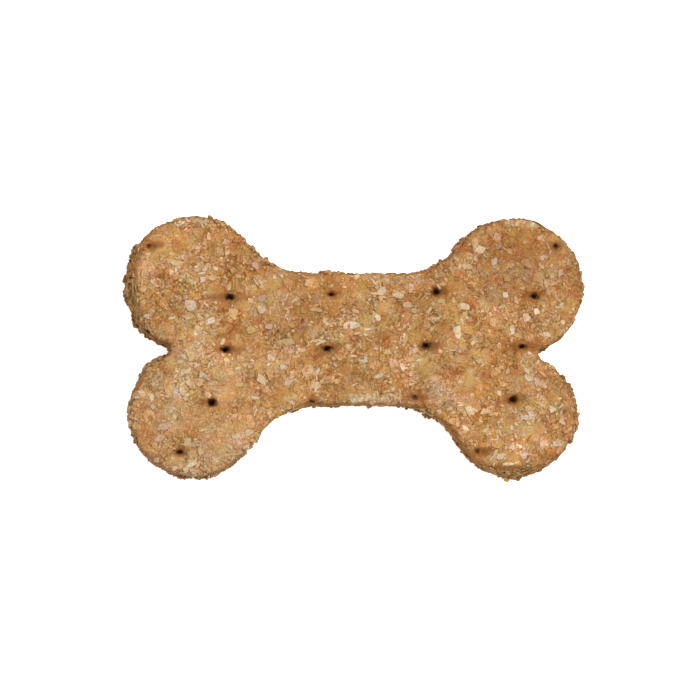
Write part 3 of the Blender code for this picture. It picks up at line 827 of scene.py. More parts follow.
def tinted(colours, places):
    """Colours drawn towards brown at the rim, more so lower down on the wall, and towards a
    patch's own colour inside it."""
    low = np.clip(LOW_FROM * (1.0 - places[:, 2] / THICKNESS), 0.0, 1.0)
    share = ((RIM_ON_BRAN + LOW_ON_BRAN * low) * rim_share(places))[:, None]
    colours = colours * (1 - share) + linear(PALETTE["side_bake"]) * share
    for spots, name, _, on_bran in PATCHES.values():
        share = on_bran * patch_share(spots, places)[:, None]
        colours = colours * (1 - share) + linear(PALETTE[name]) * share
    return colours


print(len(PALETTE), "named colours; cream has linear", linear(PALETTE["cream"]).round(3))

# %% [markdown]
# ## A flake from arrays
# A flake is a thin crooked plate that the dough holds by its edge. All flakes of one kind
# are one mesh, because thousands of objects would be slow and would not survive an export.
# One flake is a centre point, rings out to its edge, and a skirt, a narrow ring just outside
# the edge and down in the dough, painted dark: painted shade for the shadowy seam that every
# flake shows. With arrays the first axis counts flakes and the second counts points, so one
# formula places every point of every flake.

# %% Flakes
UNEVEN = 0.16
SKIRT = 0.00010
SKIRT_LEVEL = -0.00003
# How dark a flake's skirt is painted, as painted shade in the seam round it
SKIRT_SHADE = 0.40
POINT_TONES = (0.86, 1.09)
SECOND_COLOUR = 0.28
PLATE_RINGS = (0.35, 0.72)


def flake_mesh(name, places, facing, along, length, width, height, rim, lift, curl, rings, rng):
    """Many crooked plates as one object.

    A point of a plate is place + u along + v across + w facing. On a ring, (u, v) is half
    the length and width times the corner's offsets in rim and the ring's share; w is the
    lift and half the height, bent up or down towards the ends by curl times u squared, and
    uneven by a small random part of the height. The skirt is the edge moved outward by a
    fixed width, at the dough's own level.
    """
    count, sides, _ = rim.shape
    u, v = 0.5 * length[:, None] * rim[..., 0], 0.5 * width[:, None] * rim[..., 1]
    reach = np.maximum(np.hypot(u, v), SKIRT)
    bend = curl[:, None] * rim[..., 0] ** 2 * width[:, None]
    top, bottom = (lift[:, None] + sign * 0.5 * height[:, None] for sign in (1, -1))
    across = np.cross(facing, along)

    def at(share, level):
        return (places[:, None] + (share * u)[..., None] * along[:, None]
                + (share * v)[..., None] * across[:, None] + level[..., None] * facing[:, None])

    uneven = rng.uniform(-UNEVEN, UNEVEN, (count, sides, len(rings) + 1)) * height[:, None, None]
    layers = [at(0.0 * u, top)[:, :1]]
    layers += [at(share + 0.0 * u, top + bend * share ** 2 + uneven[..., k])
               for k, share in enumerate((*rings, 1.0))]
    layers += [at(1.0 + SKIRT / reach, np.minimum(SKIRT_LEVEL, top - SKIRT) + 0.0 * u),
               at(0.0 * u, np.minimum(bottom, SKIRT_LEVEL - SKIRT))[:, :1]]
    points = np.concatenate(layers, axis=1)
    points[..., 2] = np.maximum(points[..., 2], 0.0)

    k = np.arange(sides)
    n = (k + 1) % sides
    faces = [np.column_stack((np.zeros(sides, int), 1 + k, 1 + n))]
    for ring in range(len(rings) + 1):
        a, b = 1 + ring * sides, 1 + (ring + 1) * sides
        faces += [np.column_stack((a + k, b + k, b + n)), np.column_stack((a + k, b + n, a + n))]
    stride = points.shape[1]
    faces.append(np.column_stack((np.full(sides, stride - 1), stride - 1 - sides + n,
                                  stride - 1 - sides + k)))
    faces = np.concatenate(faces)
    faces = (faces[None] + stride * np.arange(count)[:, None, None]).reshape(-1, 3)
    piece = build_mesh(name, points.reshape(-1, 3), faces, False)
    print(name, count, "flakes,", len(faces), "triangles")
    return piece, stride


def give_colours(piece, stride, colours, seconds, dark, cover, rng, skirt_shade=SKIRT_SHADE):
    """Store a colour on each point of each flake, and how far dough is smeared over it.

    The colour lies between the flake's first and, by a random share, its second one, is a
    little lighter or darker from point to point, and is painted dark on the skirt's last points, as painted
    shade in the seam.
    """
    count = len(colours)
    share = rng.uniform(0.0, SECOND_COLOUR, (count, 1, 1)) * rng.integers(0, 2, (count, stride, 1))
    rows = colours[:, None] * (1 - share) + seconds[:, None] * share
    rows *= rng.uniform(*POINT_TONES, (count, stride, 1)) ** TONE_CHANNELS
    # Painted shade on the skirt's last points
    rows[:, stride - dark:] *= skirt_shade
    rows = np.concatenate((rows, np.ones((count, stride, 1))), axis=2)
    attribute = piece.data.attributes.new("bran", "FLOAT_COLOR", "POINT")
    attribute.data.foreach_set("color", rows.astype(np.float32).ravel())
    give_value(piece, "cover", np.full(count * stride, cover))


BREAKS = 4
BREAK_TURN = 0.55
BREAK_REACHES = (0.60, 1.0)
LONGEST_REACH = 1.40
LEAST_COSINE = 0.05
CORNER_TURN = 0.25
CORNER_SHAKE = (0.84, 1.06)


def broken_outlines(count, sides, rng):
    """The corners of many broken flakes, in halves of their length and width.

    Bran breaks along straight lines. Here they are four, each about a quarter turn from the
    one before and at its own distance from the middle; in any direction the flake ends at
    the nearest of them, which is at distance / cos(angle between direction and line's facing).
    """
    shift = rng.uniform(-CORNER_TURN, CORNER_TURN, (count, sides))
    turn = 2 * math.pi * (np.arange(sides) + shift) / sides
    line = 2 * math.pi * np.arange(BREAKS) / BREAKS + rng.uniform(-BREAK_TURN, BREAK_TURN, (count, BREAKS))
    far = rng.uniform(*BREAK_REACHES, (count, 1, BREAKS))
    cosine = np.maximum(np.cos(turn[:, :, None] - line[:, None]), LEAST_COSINE)
    reach = np.minimum((far / cosine).min(axis=2), LONGEST_REACH)
    reach *= rng.uniform(*CORNER_SHAKE, (count, sides))
    return reach[..., None] * np.stack((np.cos(turn), np.sin(turn)), axis=-1)


# %% [markdown]
# ## Large flakes
# The largest flakes are part of the solid, so here they lie in the same places: the same
# random draws in the same order give each its length, spot, turn and tilt. Over the plain
# solids the scene's flakes get thinner edges and their own colours.

# %% Large flakes: the solid's own rules
TOP_FLAKES, WALL_FLAKES = 110, 56
TOP_SEED, WALL_SEED = 11, 23
FLAKE_LONGEST, FLAKE_SHORTEST = 0.0040, 0.0020
FLAKE_WIDTHS = (0.45, 0.80)
FLAKE_CORNERS = (0.75, 1.15)
FLAKE_SIDES = 6
FLAKE_TILT = math.radians(14)
FLAKE_GAP = 0.0006
HOLE_MARGIN = 0.0019
SPOTS_PER_FLAKE = 60
WALL_MIDDLE, WALL_SPREAD = 0.0052, 0.0042
WALL_SHIFT = 0.35
WALL_TURN = math.radians(35)
WALL_LEAN = (-0.25, 0.75)
SOLID_STEP = 0.0008


def flake_sizes(count, rng):
    """Lengths falling evenly from the longest to the shortest, each with its own width."""
    length = np.linspace(FLAKE_LONGEST, FLAKE_SHORTEST, count)
    return length, length * rng.uniform(*FLAKE_WIDTHS, count)


def near_hole(spot, length):
    """Whether a flake of the given length at this spot would reach a docking hole."""
    nearest = np.min(np.hypot(*(DOCKING_HOLES[:, :2] - spot).T))
    return nearest < HOLE_MARGIN + length / 4


def choose_spots(length, rng):
    """Places on the top, one for each length, clear of rim, holes and earlier places."""
    half = np.array((UPPER_RIGHT[0] + UPPER_RIGHT[2], UPPER_RIGHT[1] + UPPER_RIGHT[2]))
    spots = rng.uniform(-1.0, 1.0, (len(length) * SPOTS_PER_FLAKE, 2)) * half
    spots = spots[edge_distance(*spots.T)[0] - extra_lean(spots) > RIM_MARGIN]
    chosen = []
    for spot in spots:
        if len(chosen) == len(length):
            break
        own_length = length[len(chosen)]
        crowded = any(math.dist(spot, other) < (own_length + length[k]) / 2 + FLAKE_GAP
                      for k, other in enumerate(chosen))
        if not crowded and not near_hole(spot, own_length):
            chosen.append(spot)
    return np.array(chosen)


def top_flakes():
    """Length, width, corner reaches, place, facing and long direction of the top's flakes."""
    rng = np.random.default_rng(TOP_SEED)
    length, width = flake_sizes(TOP_FLAKES, rng)
    spots = choose_spots(length, rng)
    draws = [(rng.uniform(-1.0, 1.0, 3), rng.uniform(*FLAKE_CORNERS, FLAKE_SIDES)) for _ in spots]
    tilts = [np.array(Matrix.Rotation(lean * FLAKE_TILT, 3, "X") @ Matrix.Rotation(side * FLAKE_TILT, 3, "Y")
                      @ Matrix.Rotation(turn * math.pi, 3, "Z")) for (turn, lean, side), _ in draws]
    inset, outward = top_inset_at(*spots.T)
    height = over_the_top(inset, outward)[0] + top_relief(*spots.T)
    tilts = np.array(tilts)
    return (length, width, np.array([corners for _, corners in draws]),
            np.column_stack((spots, height)), tilts[:, :, 2], tilts[:, :, 0])


def wall_flakes():
    """The same for the wall's flakes, evenly spaced round it but for a random shift."""
    rng = np.random.default_rng(WALL_SEED)
    length, width = flake_sizes(WALL_FLAKES, rng)
    slots = rng.permutation(WALL_FLAKES)
    profile = np.array(RIM_PROFILE)
    kept, corners, places, faces, longs = [], [], [], [], []
    for k in range(WALL_FLAKES):
        shift, level, lean, turn = rng.uniform(-1.0, 1.0, 4)
        reaches = rng.uniform(*FLAKE_CORNERS, FLAKE_SIDES)
        upward = rng.uniform(*WALL_LEAN)
        height = WALL_MIDDLE + WALL_SPREAD * level
        points, directions = wall_row(np.interp(height, profile[:, 1], profile[:, 0]), height, SOLID_STEP)
        index = int((slots[k] + WALL_SHIFT * shift) / WALL_FLAKES * len(points)) % len(points)
        if near_hole(points[index], length[k]):
            continue
        side = directions[index]
        facing = unit(np.array((*side, upward)))
        turned = Matrix.Rotation(FLAKE_TILT * lean, 3, "Z") @ Matrix.Rotation(WALL_TURN * turn, 3, facing)
        long = np.array(turned) @ np.array((-side[1], side[0], 0.0))
        kept.append(k)
        corners.append(reaches)
        places.append((*points[index], height))
        longs.append(long)
        faces.append(unit(facing - long * (facing @ long)))
    return (length[kept], width[kept], np.array(corners), np.array(places), np.array(faces),
            np.array(longs))


# %% Large flakes: their meshes
LARGE_THICKNESS = 0.00045
LARGE_SHAKE, LARGE_HEIGHTS, LARGE_CURL = (0.88, 1.03), (0.7, 1.1), (-0.05, 0.06)
LARGE_LIFT = (-0.00027, -0.00012)
LARGE_SEED = 40
LARGE_COVER = 1.15
# How dark a wall flake's skirt is painted, as painted shade, lighter than on the top
WALL_SKIRT_SHADE = 0.80
LARGE_HUE = 0.75
LARGE_WEIGHTS = {"cream": 4, "pink_beige": 9, "tan": 28, "ochre": 14, "baked": 40, "rosy_meal": 5}
SECOND_WEIGHTS = {"cream": 2, "tan": 4, "rose": 1, "ochre": 2, "baked": 2}


def large_flakes(name, kind, skirt_shade, seed):
    """Large flakes as crooked twelve-sided plates: the solid's six corners and between them
    the middles of its straight sides, all shaken a little."""
    length, width, corners, places, facing, along = kind
    rng = np.random.default_rng(seed)
    turn = math.pi / 6 + math.pi / 3 * np.arange(FLAKE_SIDES)
    count = len(length)
    rim = np.empty((count, 2 * FLAKE_SIDES, 2))
    rim[:, 0::2] = np.stack((corners * np.cos(turn), corners * np.sin(turn)), axis=-1)
    rim[:, 1::2] = 0.5 * (rim[:, 0::2] + np.roll(rim[:, 0::2], -1, axis=1))
    rim *= rng.uniform(*LARGE_SHAKE, (count, 2 * FLAKE_SIDES, 1))
    height = LARGE_THICKNESS * rng.uniform(*LARGE_HEIGHTS, count)
    curl = rng.uniform(*LARGE_CURL, count)
    piece, stride = flake_mesh(name, places, facing, along, length, width, height, rim,
                               rng.uniform(*LARGE_LIFT, count), curl, PLATE_RINGS, rng)
    give_colours(piece, stride, tinted(pick_colours(count, LARGE_WEIGHTS, rng, LARGE_HUE), places),
                 pick_colours(count, SECOND_WEIGHTS, rng), 2 * FLAKE_SIDES + 1, LARGE_COVER, rng, skirt_shade)
    return piece


large_top = large_flakes("large_flakes_top", top_flakes(), SKIRT_SHADE, LARGE_SEED)
large_wall = large_flakes("large_flakes_wall", wall_flakes(), WALL_SKIRT_SHADE, LARGE_SEED + 1)

# %% [markdown]
# ## Flakes that catch the eye
# Some pale flakes stand out at a glance, and their places make the biscuit this one. Each
# lies where the camera's ray through its pixel meets the crust. The crust's height depends
# on the place and the place on the height, so a few rounds of the two settle it.

# %% Flakes that catch the eye: pixels across and down, length and width in mm, turn in degrees
EYE_CATCHING = {
    "chalk": (
        (190, 306, 2.9, 2.7, 10), (211, 321, 1.9, 1.5, 0), (147, 316, 1.3, 1.0, 0), (508, 371, 1.3, 1.2, 0),
        (486, 430, 1.5, 0.8, 0), (556, 443, 2.4, 1.4, 0), (255, 398, 1.9, 0.8, 0), (289, 382, 2.0, 1.6, 0),
        (317, 372, 2.9, 1.0, 55), (527, 318, 1.9, 1.8, 0), (183, 356, 1.5, 1.0, 0), (250, 432, 2.0, 1.4, 0)),
    "cream": (
        (201, 257, 2.0, 0.6, -45), (198, 266, 1.6, 0.6, 30), (227, 244, 1.9, 1.4, 90),
        (227, 252, 1.3, 1.2, 0), (153, 281, 1.3, 1.0, 0), (238, 276, 1.3, 1.0, 0), (287, 314, 2.4, 0.6, 60),
        (320, 341, 2.7, 0.8, 0), (172, 318, 1.9, 0.8, 0), (398, 295, 2.4, 1.9, -10), (378, 315, 1.9, 1.2, 90),
        (355, 325, 2.7, 1.6, 0), (429, 311, 1.9, 0.8, 60), (464, 307, 2.4, 1.6, 0), (457, 331, 2.9, 1.8, 90),
        (468, 266, 2.7, 1.2, -45), (480, 250, 2.9, 2.0, 0), (505, 295, 1.6, 1.4, 90),
        (512, 330, 2.2, 1.2, 90), (536, 311, 1.6, 1.4, 90), (437, 319, 1.3, 1.2, 0), (379, 376, 2.0, 1.0, 35),
        (471, 411, 2.4, 1.8, 0), (486, 411, 1.9, 1.6, 0), (553, 409, 1.9, 1.8, 0), (512, 446, 1.9, 1.4, 0),
        (507, 464, 2.9, 0.8, 0), (262, 380, 2.4, 2.2, 0), (316, 385, 2.0, 1.4, 0), (152, 397, 1.9, 1.0, 90),
        (192, 464, 3.4, 1.2, 20), (215, 459, 1.3, 1.2, 0), (193, 475, 3.2, 1.0, 0), (187, 442, 1.9, 1.8, 0)),
    "tan": (
        (177, 264, 2.9, 1.2, -5), (213, 277, 2.9, 1.9, 0), (252, 330, 2.9, 1.4, 10), (289, 342, 3.3, 1.6, 15),
        (404, 340, 2.4, 1.6, 90), (416, 317, 1.9, 1.4, 0), (415, 352, 2.0, 1.2, 90), (220, 452, 2.0, 1.6, 0),
        (530, 370, 1.6, 0.8, 0), (442, 301, 2.0, 1.4, 0)),
    "pink_beige": (
        (205, 268, 1.6, 1.2, 60), (203, 279, 1.6, 1.4, 0), (261, 310, 2.0, 1.8, 90), (269, 326, 1.9, 1.4, 0),
        (255, 266, 1.6, 1.2, 90), (317, 310, 2.9, 0.8, -5), (382, 290, 2.0, 1.8, 0), (407, 305, 2.2, 1.4, 0),
        (494, 262, 1.9, 1.2, 90), (542, 258, 1.3, 1.2, 0), (364, 361, 1.9, 1.0, 20), (532, 414, 1.5, 1.4, 0),
        (524, 456, 1.6, 1.4, 0), (500, 457, 1.9, 1.2, 0), (563, 421, 1.6, 1.4, 0), (480, 361, 1.6, 1.0, 0),
        (537, 382, 1.9, 1.2, 90), (202, 375, 1.6, 1.2, 0), (210, 384, 1.9, 0.8, 0), (270, 357, 1.3, 1.0, 90),
        (303, 350, 1.3, 1.2, 0), (155, 382, 1.9, 1.6, 0), (175, 395, 2.0, 1.4, 90), (165, 426, 2.9, 1.8, 0),
        (160, 439, 1.9, 1.8, 0), (175, 468, 1.6, 1.2, 0), (157, 460, 1.5, 1.2, 90), (235, 437, 1.9, 1.0, 0)),
    "rose": (
        (262, 298, 2.4, 1.6, 0), (315, 299, 2.2, 1.8, 0), (498, 247, 1.9, 1.2, 45), (270, 333, 2.4, 0.8, 90)),
    "orange": ((190, 222, 1.3, 1.0, 90),),
}
EYE_SEED = 44
EYE_SIDES = 14
EYE_COVER = 0.38
EYE_THICKNESS = 0.00026
EYE_HEIGHTS, EYE_CURL = (0.8, 1.2), (-0.04, 0.05)
EYE_LIFT = 0.00004
EYE_TURN = 12.0
EYE_TILT = 0.05
CRUST_ROUNDS = 4


def on_the_crust(across, down):
    """Places on the crust under pixels of the camera's frame, and the crust's facing there."""
    places = under_pixel(across, down, THICKNESS)
    for _ in range(CRUST_ROUNDS):
        inset, outward = top_inset_at(*places[:, :2].T)
        height, facing = over_the_top(inset, outward)
        places = under_pixel(across, down, height + top_relief(*places[:, :2].T))
    return places, unit(facing)


def eye_catching_flakes():
    """The flakes of the list as one piece."""
    rng = np.random.default_rng(EYE_SEED)
    across, down, length, width, turn = np.concatenate([np.array(rows) for rows in EYE_CATCHING.values()]).T
    colours = np.array([linear(PALETTE[name]) for name, rows in EYE_CATCHING.items() for _ in rows])
    count = len(across)
    places, facing = on_the_crust(across, down)
    facing = unit(facing + EYE_TILT * rng.normal(0, 1, (count, 3)))
    turn = np.radians(turn + rng.uniform(-EYE_TURN, EYE_TURN, count))
    along = np.column_stack((np.cos(turn), np.sin(turn), np.zeros(count)))
    along = unit(along - facing * (facing * along).sum(axis=1)[:, None])
    height = EYE_THICKNESS * rng.uniform(*EYE_HEIGHTS, count)
    piece, stride = flake_mesh("eye_catching_flakes", places, facing, along, length / 1000, width / 1000,
                               height, broken_outlines(count, EYE_SIDES, rng), np.full(count, EYE_LIFT),
                               rng.uniform(*EYE_CURL, count), PLATE_RINGS, rng)
    give_colours(piece, stride, colours, colours, EYE_SIDES + 1, EYE_COVER, rng)
    return piece


eye_catching = eye_catching_flakes()

# %% [markdown]
# ## Scattered bran
# Smaller bran lies wherever the dough has surface, denser in some patches than in others.
# A spot is drawn by picking a triangle of the dough with a chance equal to its share of the
# area, and then a random place inside it. Spots that fall too close are thinned by keeping
# one for each small cube of space.

# %% Spots on the dough
open_faces = dough_faces[:len(wall_faces) + len(top_faces)]
face_corners = dough_points[open_faces]
face_area = 0.5 * np.linalg.norm(np.cross(face_corners[:, 1] - face_corners[:, 0],
                                          face_corners[:, 2] - face_corners[:, 0]), axis=1)
face_middle = smooth_points[open_faces].mean(axis=1)
face_facing = unit(facing[open_faces].mean(axis=1))
IN_HOLE = 0.05
face_in_hole = dough_shaft[open_faces].max(axis=1) > IN_HOLE
# A piece lies along the slab, and by this share along the relief under it
LOCAL_SHARE = 0.25


def draw_spots(count, spacing, chance, rng):
    """About count places on the dough with the directions in which it faces there.

    A place on a triangle is its three corners weighted by two random shares, folded back
    where they add up to more than one.
    """
    weight = face_area * chance * ~face_in_hole
    face = rng.choice(len(open_faces), count, p=weight / weight.sum())
    first, second = rng.uniform(0, 1, (2, count))
    over = first + second > 1
    first, second = np.where(over, 1 - first, first), np.where(over, 1 - second, second)
    shares = np.column_stack((1 - first - second, first, second))[:, :, None]
    places = (dough_points[open_faces[face]] * shares).sum(axis=1)
    local = unit((dough_normals[open_faces[face]] * shares).sum(axis=1))
    keys = np.floor(places / spacing).astype(np.int64)
    kept = np.sort(np.unique(keys, axis=0, return_index=True)[1])
    return places[kept], unit(LOCAL_SHARE * local + (1 - LOCAL_SHARE) * face_facing[face])[kept]


print(len(open_faces), "triangles of wall and top, of which", int(face_in_hole.sum()), "lie in holes")

# %% Bran of one kind
SIZE_BIAS = 1.4
SCATTER_COVER = 0.8
SCATTER_CURL = (-0.08, 0.10)
# No piece is higher than this share of its width
HIGHEST = 0.8


def scatter(name, count, spacing, chance, seed, sizes, widths, heights, sides, rings, tilt, lift,
            own_hue, weights):
    """Bran of one kind: spots, then turns, tilts, sizes, crooked outlines and colours.

    A length is small * (large / small) ** (random ** bias), so most are small. Widths and
    heights are shares of the length, and the lift is a share of the height.
    """
    rng = np.random.default_rng(seed)
    places, up = draw_spots(count, spacing, chance, rng)
    count = len(places)
    up = unit(up + tilt * rng.normal(0, 1, (count, 3)))
    along = unit(np.cross(up, rng.normal(0, 1, (count, 3))))
    length = sizes[0] * (sizes[1] / sizes[0]) ** rng.uniform(0, 1, count) ** SIZE_BIAS
    width = length * rng.uniform(*widths, count)
    height = np.minimum(length * rng.uniform(*heights, count), HIGHEST * width)
    curl = rng.uniform(*SCATTER_CURL, count)
    piece, stride = flake_mesh(name, places, up, along, length, width, height,
                               broken_outlines(count, sides, rng), lift * height, curl, rings, rng)
    give_colours(piece, stride, tinted(pick_colours(count, weights, rng, own_hue), places),
                 pick_colours(count, SECOND_WEIGHTS, rng, own_hue), sides + 1, SCATTER_COVER, rng)
    return piece


# %% Where bran falls
PATCH_CELL, PATCH_SEED, PATCH_MEAN, PATCH_SWING, PATCH_LEAST = 0.0045, 17, 0.50, 0.80, 0.05
# Where the rim is craggy: pixels across and down in the camera's frame, and reach in metres
CRAGGY_PLACES = (
    (124, 250, 0.0030), (124, 285, 0.0030), (149, 366, 0.0022), (132, 418, 0.0026), (251, 441, 0.0026),
    (190, 476, 0.0026), (222, 227, 0.0020), (242, 243, 0.0030), (262, 260, 0.0020), (460, 245, 0.0018),
    (577, 390, 0.0032), (577, 425, 0.0032), (518, 477, 0.0026), (330, 272, 0.0024), (577, 290, 0.0024),
    (430, 410, 0.0018), (141, 330, 0.0024),
)
MIDDLE_HEIGHT = 0.0055
TOP_FACING = 0.75
FOOT_REACH = 0.0020
# The chance of bran on the wall by itself, and the most that crags may raise it to
WALL_CHANCE, WALL_MOST = 0.30, 1.2
SMEAR_CLEARS, BARE_CLEARS, HUSK_ADDS = 2.2, 0.75, 0.9
EVEN_CHANCE = 0.25
CRUMBS_ON_TOP, CRUMBS_ON_WALL, CRUMBS_AT_FOOT, CRUMBS_AT_CRAGS = 0.03, 0.08, 0.5, 3.6

patch = value_noise(face_middle[:, 0], face_middle[:, 1] - face_middle[:, 2], PATCH_CELL, PATCH_SEED)
bran_patch = np.clip(PATCH_MEAN + PATCH_SWING * patch, PATCH_LEAST, 1.0)
on_top = face_facing[:, 2] > TOP_FACING
foot = np.exp(-(face_middle[:, 2] / FOOT_REACH) ** 2)
craggy = np.zeros(len(face_middle))
for across, down, reach in CRAGGY_PLACES:
    spot = under_pixel([across], [down], MIDDLE_HEIGHT)[0]
    craggy += np.exp(-((face_middle[:, :2] - spot[:2]) ** 2).sum(axis=1) / reach ** 2)
clear = 1 - np.clip(SMEAR_CLEARS * dough_scorch[open_faces].max(axis=1), 0, 1)
clear *= np.where(on_top, 1.0, np.minimum(WALL_CHANCE + craggy, WALL_MOST))
clear *= ((1 - BARE_CLEARS * patch_share(BARE_DOUGH, face_middle))
          * (1 + HUSK_ADDS * patch_share(HUSKY, face_middle)))
crumbly = np.where(on_top, CRUMBS_ON_TOP, CRUMBS_ON_WALL + CRUMBS_AT_FOOT * foot + CRUMBS_AT_CRAGS * craggy)
print(int(on_top.sum()), "triangles on top; mean chance there and on the wall",
      [round(float(clear[side].mean()), 2) for side in (on_top, ~on_top)])

# %% The four kinds
medium = scatter(
    "medium_flakes", 1250, spacing=0.0009, chance=bran_patch * clear, seed=51,
    sizes=(0.0008, 0.0021), widths=(0.28, 0.80), heights=(0.09, 0.17), sides=8, rings=(0.55,),
    tilt=0.07, lift=0.1, own_hue=0.8,
    weights={"cream": 24, "chalk": 4, "pink_beige": 22, "tan": 22, "ochre": 6, "rose": 12,
             "orange": 4, "red_brown": 4})
slivers = scatter(
    "slivers", 420, spacing=0.0010, chance=(EVEN_CHANCE + bran_patch) * clear * on_top, seed=55,
    sizes=(0.0010, 0.0026), widths=(0.13, 0.26), heights=(0.08, 0.12), sides=8, rings=(),
    tilt=0.06, lift=0.15, own_hue=0.8,
    weights={"cream": 30, "pink_beige": 24, "tan": 26, "rose": 10, "red_brown": 10})
small = scatter(
    "small_flakes", 6200, spacing=0.00045, chance=(EVEN_CHANCE + bran_patch) * clear, seed=52,
    sizes=(0.00040, 0.0012), widths=(0.28, 0.8), heights=(0.14, 0.26), sides=6, rings=(),
    tilt=0.14, lift=0.0, own_hue=0.4,
    weights={"cream": 16, "chalk": 2, "pink_beige": 16, "tan": 28, "ochre": 7, "rose": 8,
             "baked": 14, "orange": 3, "red_brown": 6})
crumbs = scatter(
    "crumbs", 2300, spacing=0.00045, chance=crumbly * clear, seed=53,
    sizes=(0.0004, 0.0015), widths=(0.6, 0.95), heights=(0.40, 0.75), sides=6, rings=(),
    tilt=0.40, lift=0.22, own_hue=0.6,
    weights={"cream": 14, "chalk": 3, "pink_beige": 12, "tan": 24, "ochre": 14, "orange": 5,
             "rose": 6, "baked": 14, "red_brown": 8})

# %% [markdown]
# ## Fibres
# A few husk hairs stand out of the crust, mostly at the rim. Each is a thin three-sided tube
# along an arc: the direction turns evenly as the tube goes.

# %% Fibres
FIBRES = 70
FIBRE_SEED = 54
FIBRE_SPACING = 0.001
FIBRES_ON_TOP, FIBRES_ON_WALL, FIBRES_AT_CRAGS = 0.12, 0.3, 2.0
FIBRE_LENGTHS = (0.0008, 0.0024)
FIBRE_RISE = 0.35
FIBRE_BENDS = (0.4, 2.6)
# The radius falls evenly from 1.1 of this at the root to 0.1 of it at the tip
FIBRE_RADIUS = 0.00005
FIBRE_ROOT = 1.1
FIBRE_POINTS = 9
FIBRE_SIDES = 3
FIBRE_WEIGHTS = {"cream": 3, "tan": 4, "brown": 3}


def make_fibres():
    """Curved hairs: place + length (sin(bt)/b along + (1 - cos(bt))/b up), t from 0 to 1."""
    rng = np.random.default_rng(FIBRE_SEED)
    chance = np.where(on_top, FIBRES_ON_TOP, FIBRES_ON_WALL + FIBRES_AT_CRAGS * craggy)
    places, up = draw_spots(FIBRES, FIBRE_SPACING, chance, rng)
    count = len(places)
    along = unit(np.cross(up, rng.normal(0, 1, (count, 3))) + FIBRE_RISE * up)
    side = unit(np.cross(along, up))
    lift = np.cross(side, along)
    length = rng.uniform(*FIBRE_LENGTHS, count)
    bend = rng.uniform(*FIBRE_BENDS, count) * rng.choice((-1, 1), count)
    t = np.linspace(0, 1, FIBRE_POINTS)[None, :, None]
    b = bend[:, None, None]
    path = places[:, None] + length[:, None, None] * (np.sin(b * t) / b * along[:, None]
                                                     + (1 - np.cos(b * t)) / b * lift[:, None])
    spoke = 2 * math.pi * np.arange(FIBRE_SIDES) / FIBRE_SIDES
    out = (np.cos(spoke)[None, None, :, None] * side[:, None, None]
           + np.sin(spoke)[None, None, :, None] * lift[:, None, None])
    thin = FIBRE_RADIUS * (FIBRE_ROOT - t[..., None])
    points = (path[:, :, None] + thin * out).reshape(count, -1, 3)
    points = points[points[..., 2].min(axis=1) > 0]
    count = len(points)
    k, j = np.meshgrid(np.arange(FIBRE_SIDES), np.arange(FIBRE_POINTS - 1))
    n = (k + 1) % FIBRE_SIDES
    low, high = j * FIBRE_SIDES, (j + 1) * FIBRE_SIDES
    tube = np.concatenate((np.stack((low + k, high + k, high + n), -1).reshape(-1, 3),
                           np.stack((low + k, high + n, low + n), -1).reshape(-1, 3)))
    end = (FIBRE_POINTS - 1) * FIBRE_SIDES
    tube = np.concatenate((tube, ((0, 1, 2), (end, end + 2, end + 1))))
    stride = FIBRE_POINTS * FIBRE_SIDES
    faces = (tube[None] + stride * np.arange(count)[:, None, None]).reshape(-1, 3)
    piece = build_mesh("fibres", points.reshape(-1, 3), faces, True)
    give_colours(piece, stride, pick_colours(count, FIBRE_WEIGHTS, rng),
                 pick_colours(count, FIBRE_WEIGHTS, rng), 0, SCATTER_COVER, rng)
    print("fibres", count)
    return piece


fibres = make_fibres()

# %% [markdown]
# ## Materials
# Two materials finish everything. The dough's colour is built up in layers: a baked ground,
# patches where the meal is yellower or redder, cells of fine bran, and painted shade in the
# crevices and down the docking holes, which comes from values stored on the mesh, with scorched
# smears beside the holes. The flakes' colour is stored on each flake, with painted shade on its
# skirt, and the material adds mottling and smears of dough over it.

# %% Node helpers
def new_material(name):
    """A node material, with its tree and its Principled shader."""
    material = bpy.data.materials.new(name)
    material.use_nodes = True
    tree = material.node_tree
    return material, tree, tree.nodes["Principled BSDF"]


def feed(tree, made, inputs):
    """A node's inputs set to values, or linked where the value is another node's output."""
    for name, value in inputs.items():
        if isinstance(value, bpy.types.NodeSocket):
            tree.links.new(value, made.inputs[name])
        else:
            made.inputs[name].default_value = value


def node(tree, kind, inputs=None, **settings):
    """A node with its settings made and its inputs fed."""
    made = tree.nodes.new(kind)
    for name, value in settings.items():
        setattr(made, name, value)
    feed(tree, made, inputs or {})
    return made


def math_node(tree, operation, first, second, clamp=False):
    """A Math node's result."""
    return node(tree, "ShaderNodeMath", {0: first, 1: second}, operation=operation,
                use_clamp=clamp).outputs[0]


def times(tree, first, second, clamp=False):
    """The product of two numbers."""
    return math_node(tree, "MULTIPLY", first, second, clamp)


def blend_colours(tree, share, first, second, kind="MIX"):
    """Two colours mixed by a share."""
    return node(tree, "ShaderNodeMix", {0: share, 6: first, 7: second}, data_type="RGBA",
                blend_type=kind, clamp_result=False).outputs[2]


def ramp(tree, value, stops, steps=False):
    """A colour ramp through (place, colour) stops."""
    made = node(tree, "ShaderNodeValToRGB", {0: value})
    made.color_ramp.interpolation = "CONSTANT" if steps else "LINEAR"
    elements = made.color_ramp.elements
    while len(elements) < len(stops):
        elements.new(1.0)
    for element, (place, colour) in zip(elements, stops):
        element.position = place
        element.color = colour
    return made.outputs[0]


def paint(name):
    """A palette colour as the four numbers that a colour socket takes."""
    return (*linear(PALETTE[name]), 1.0)


def coat(tree, colour, share, name):
    """A colour covered by one of the palette's, by a share."""
    return blend_colours(tree, share, colour, paint(name))


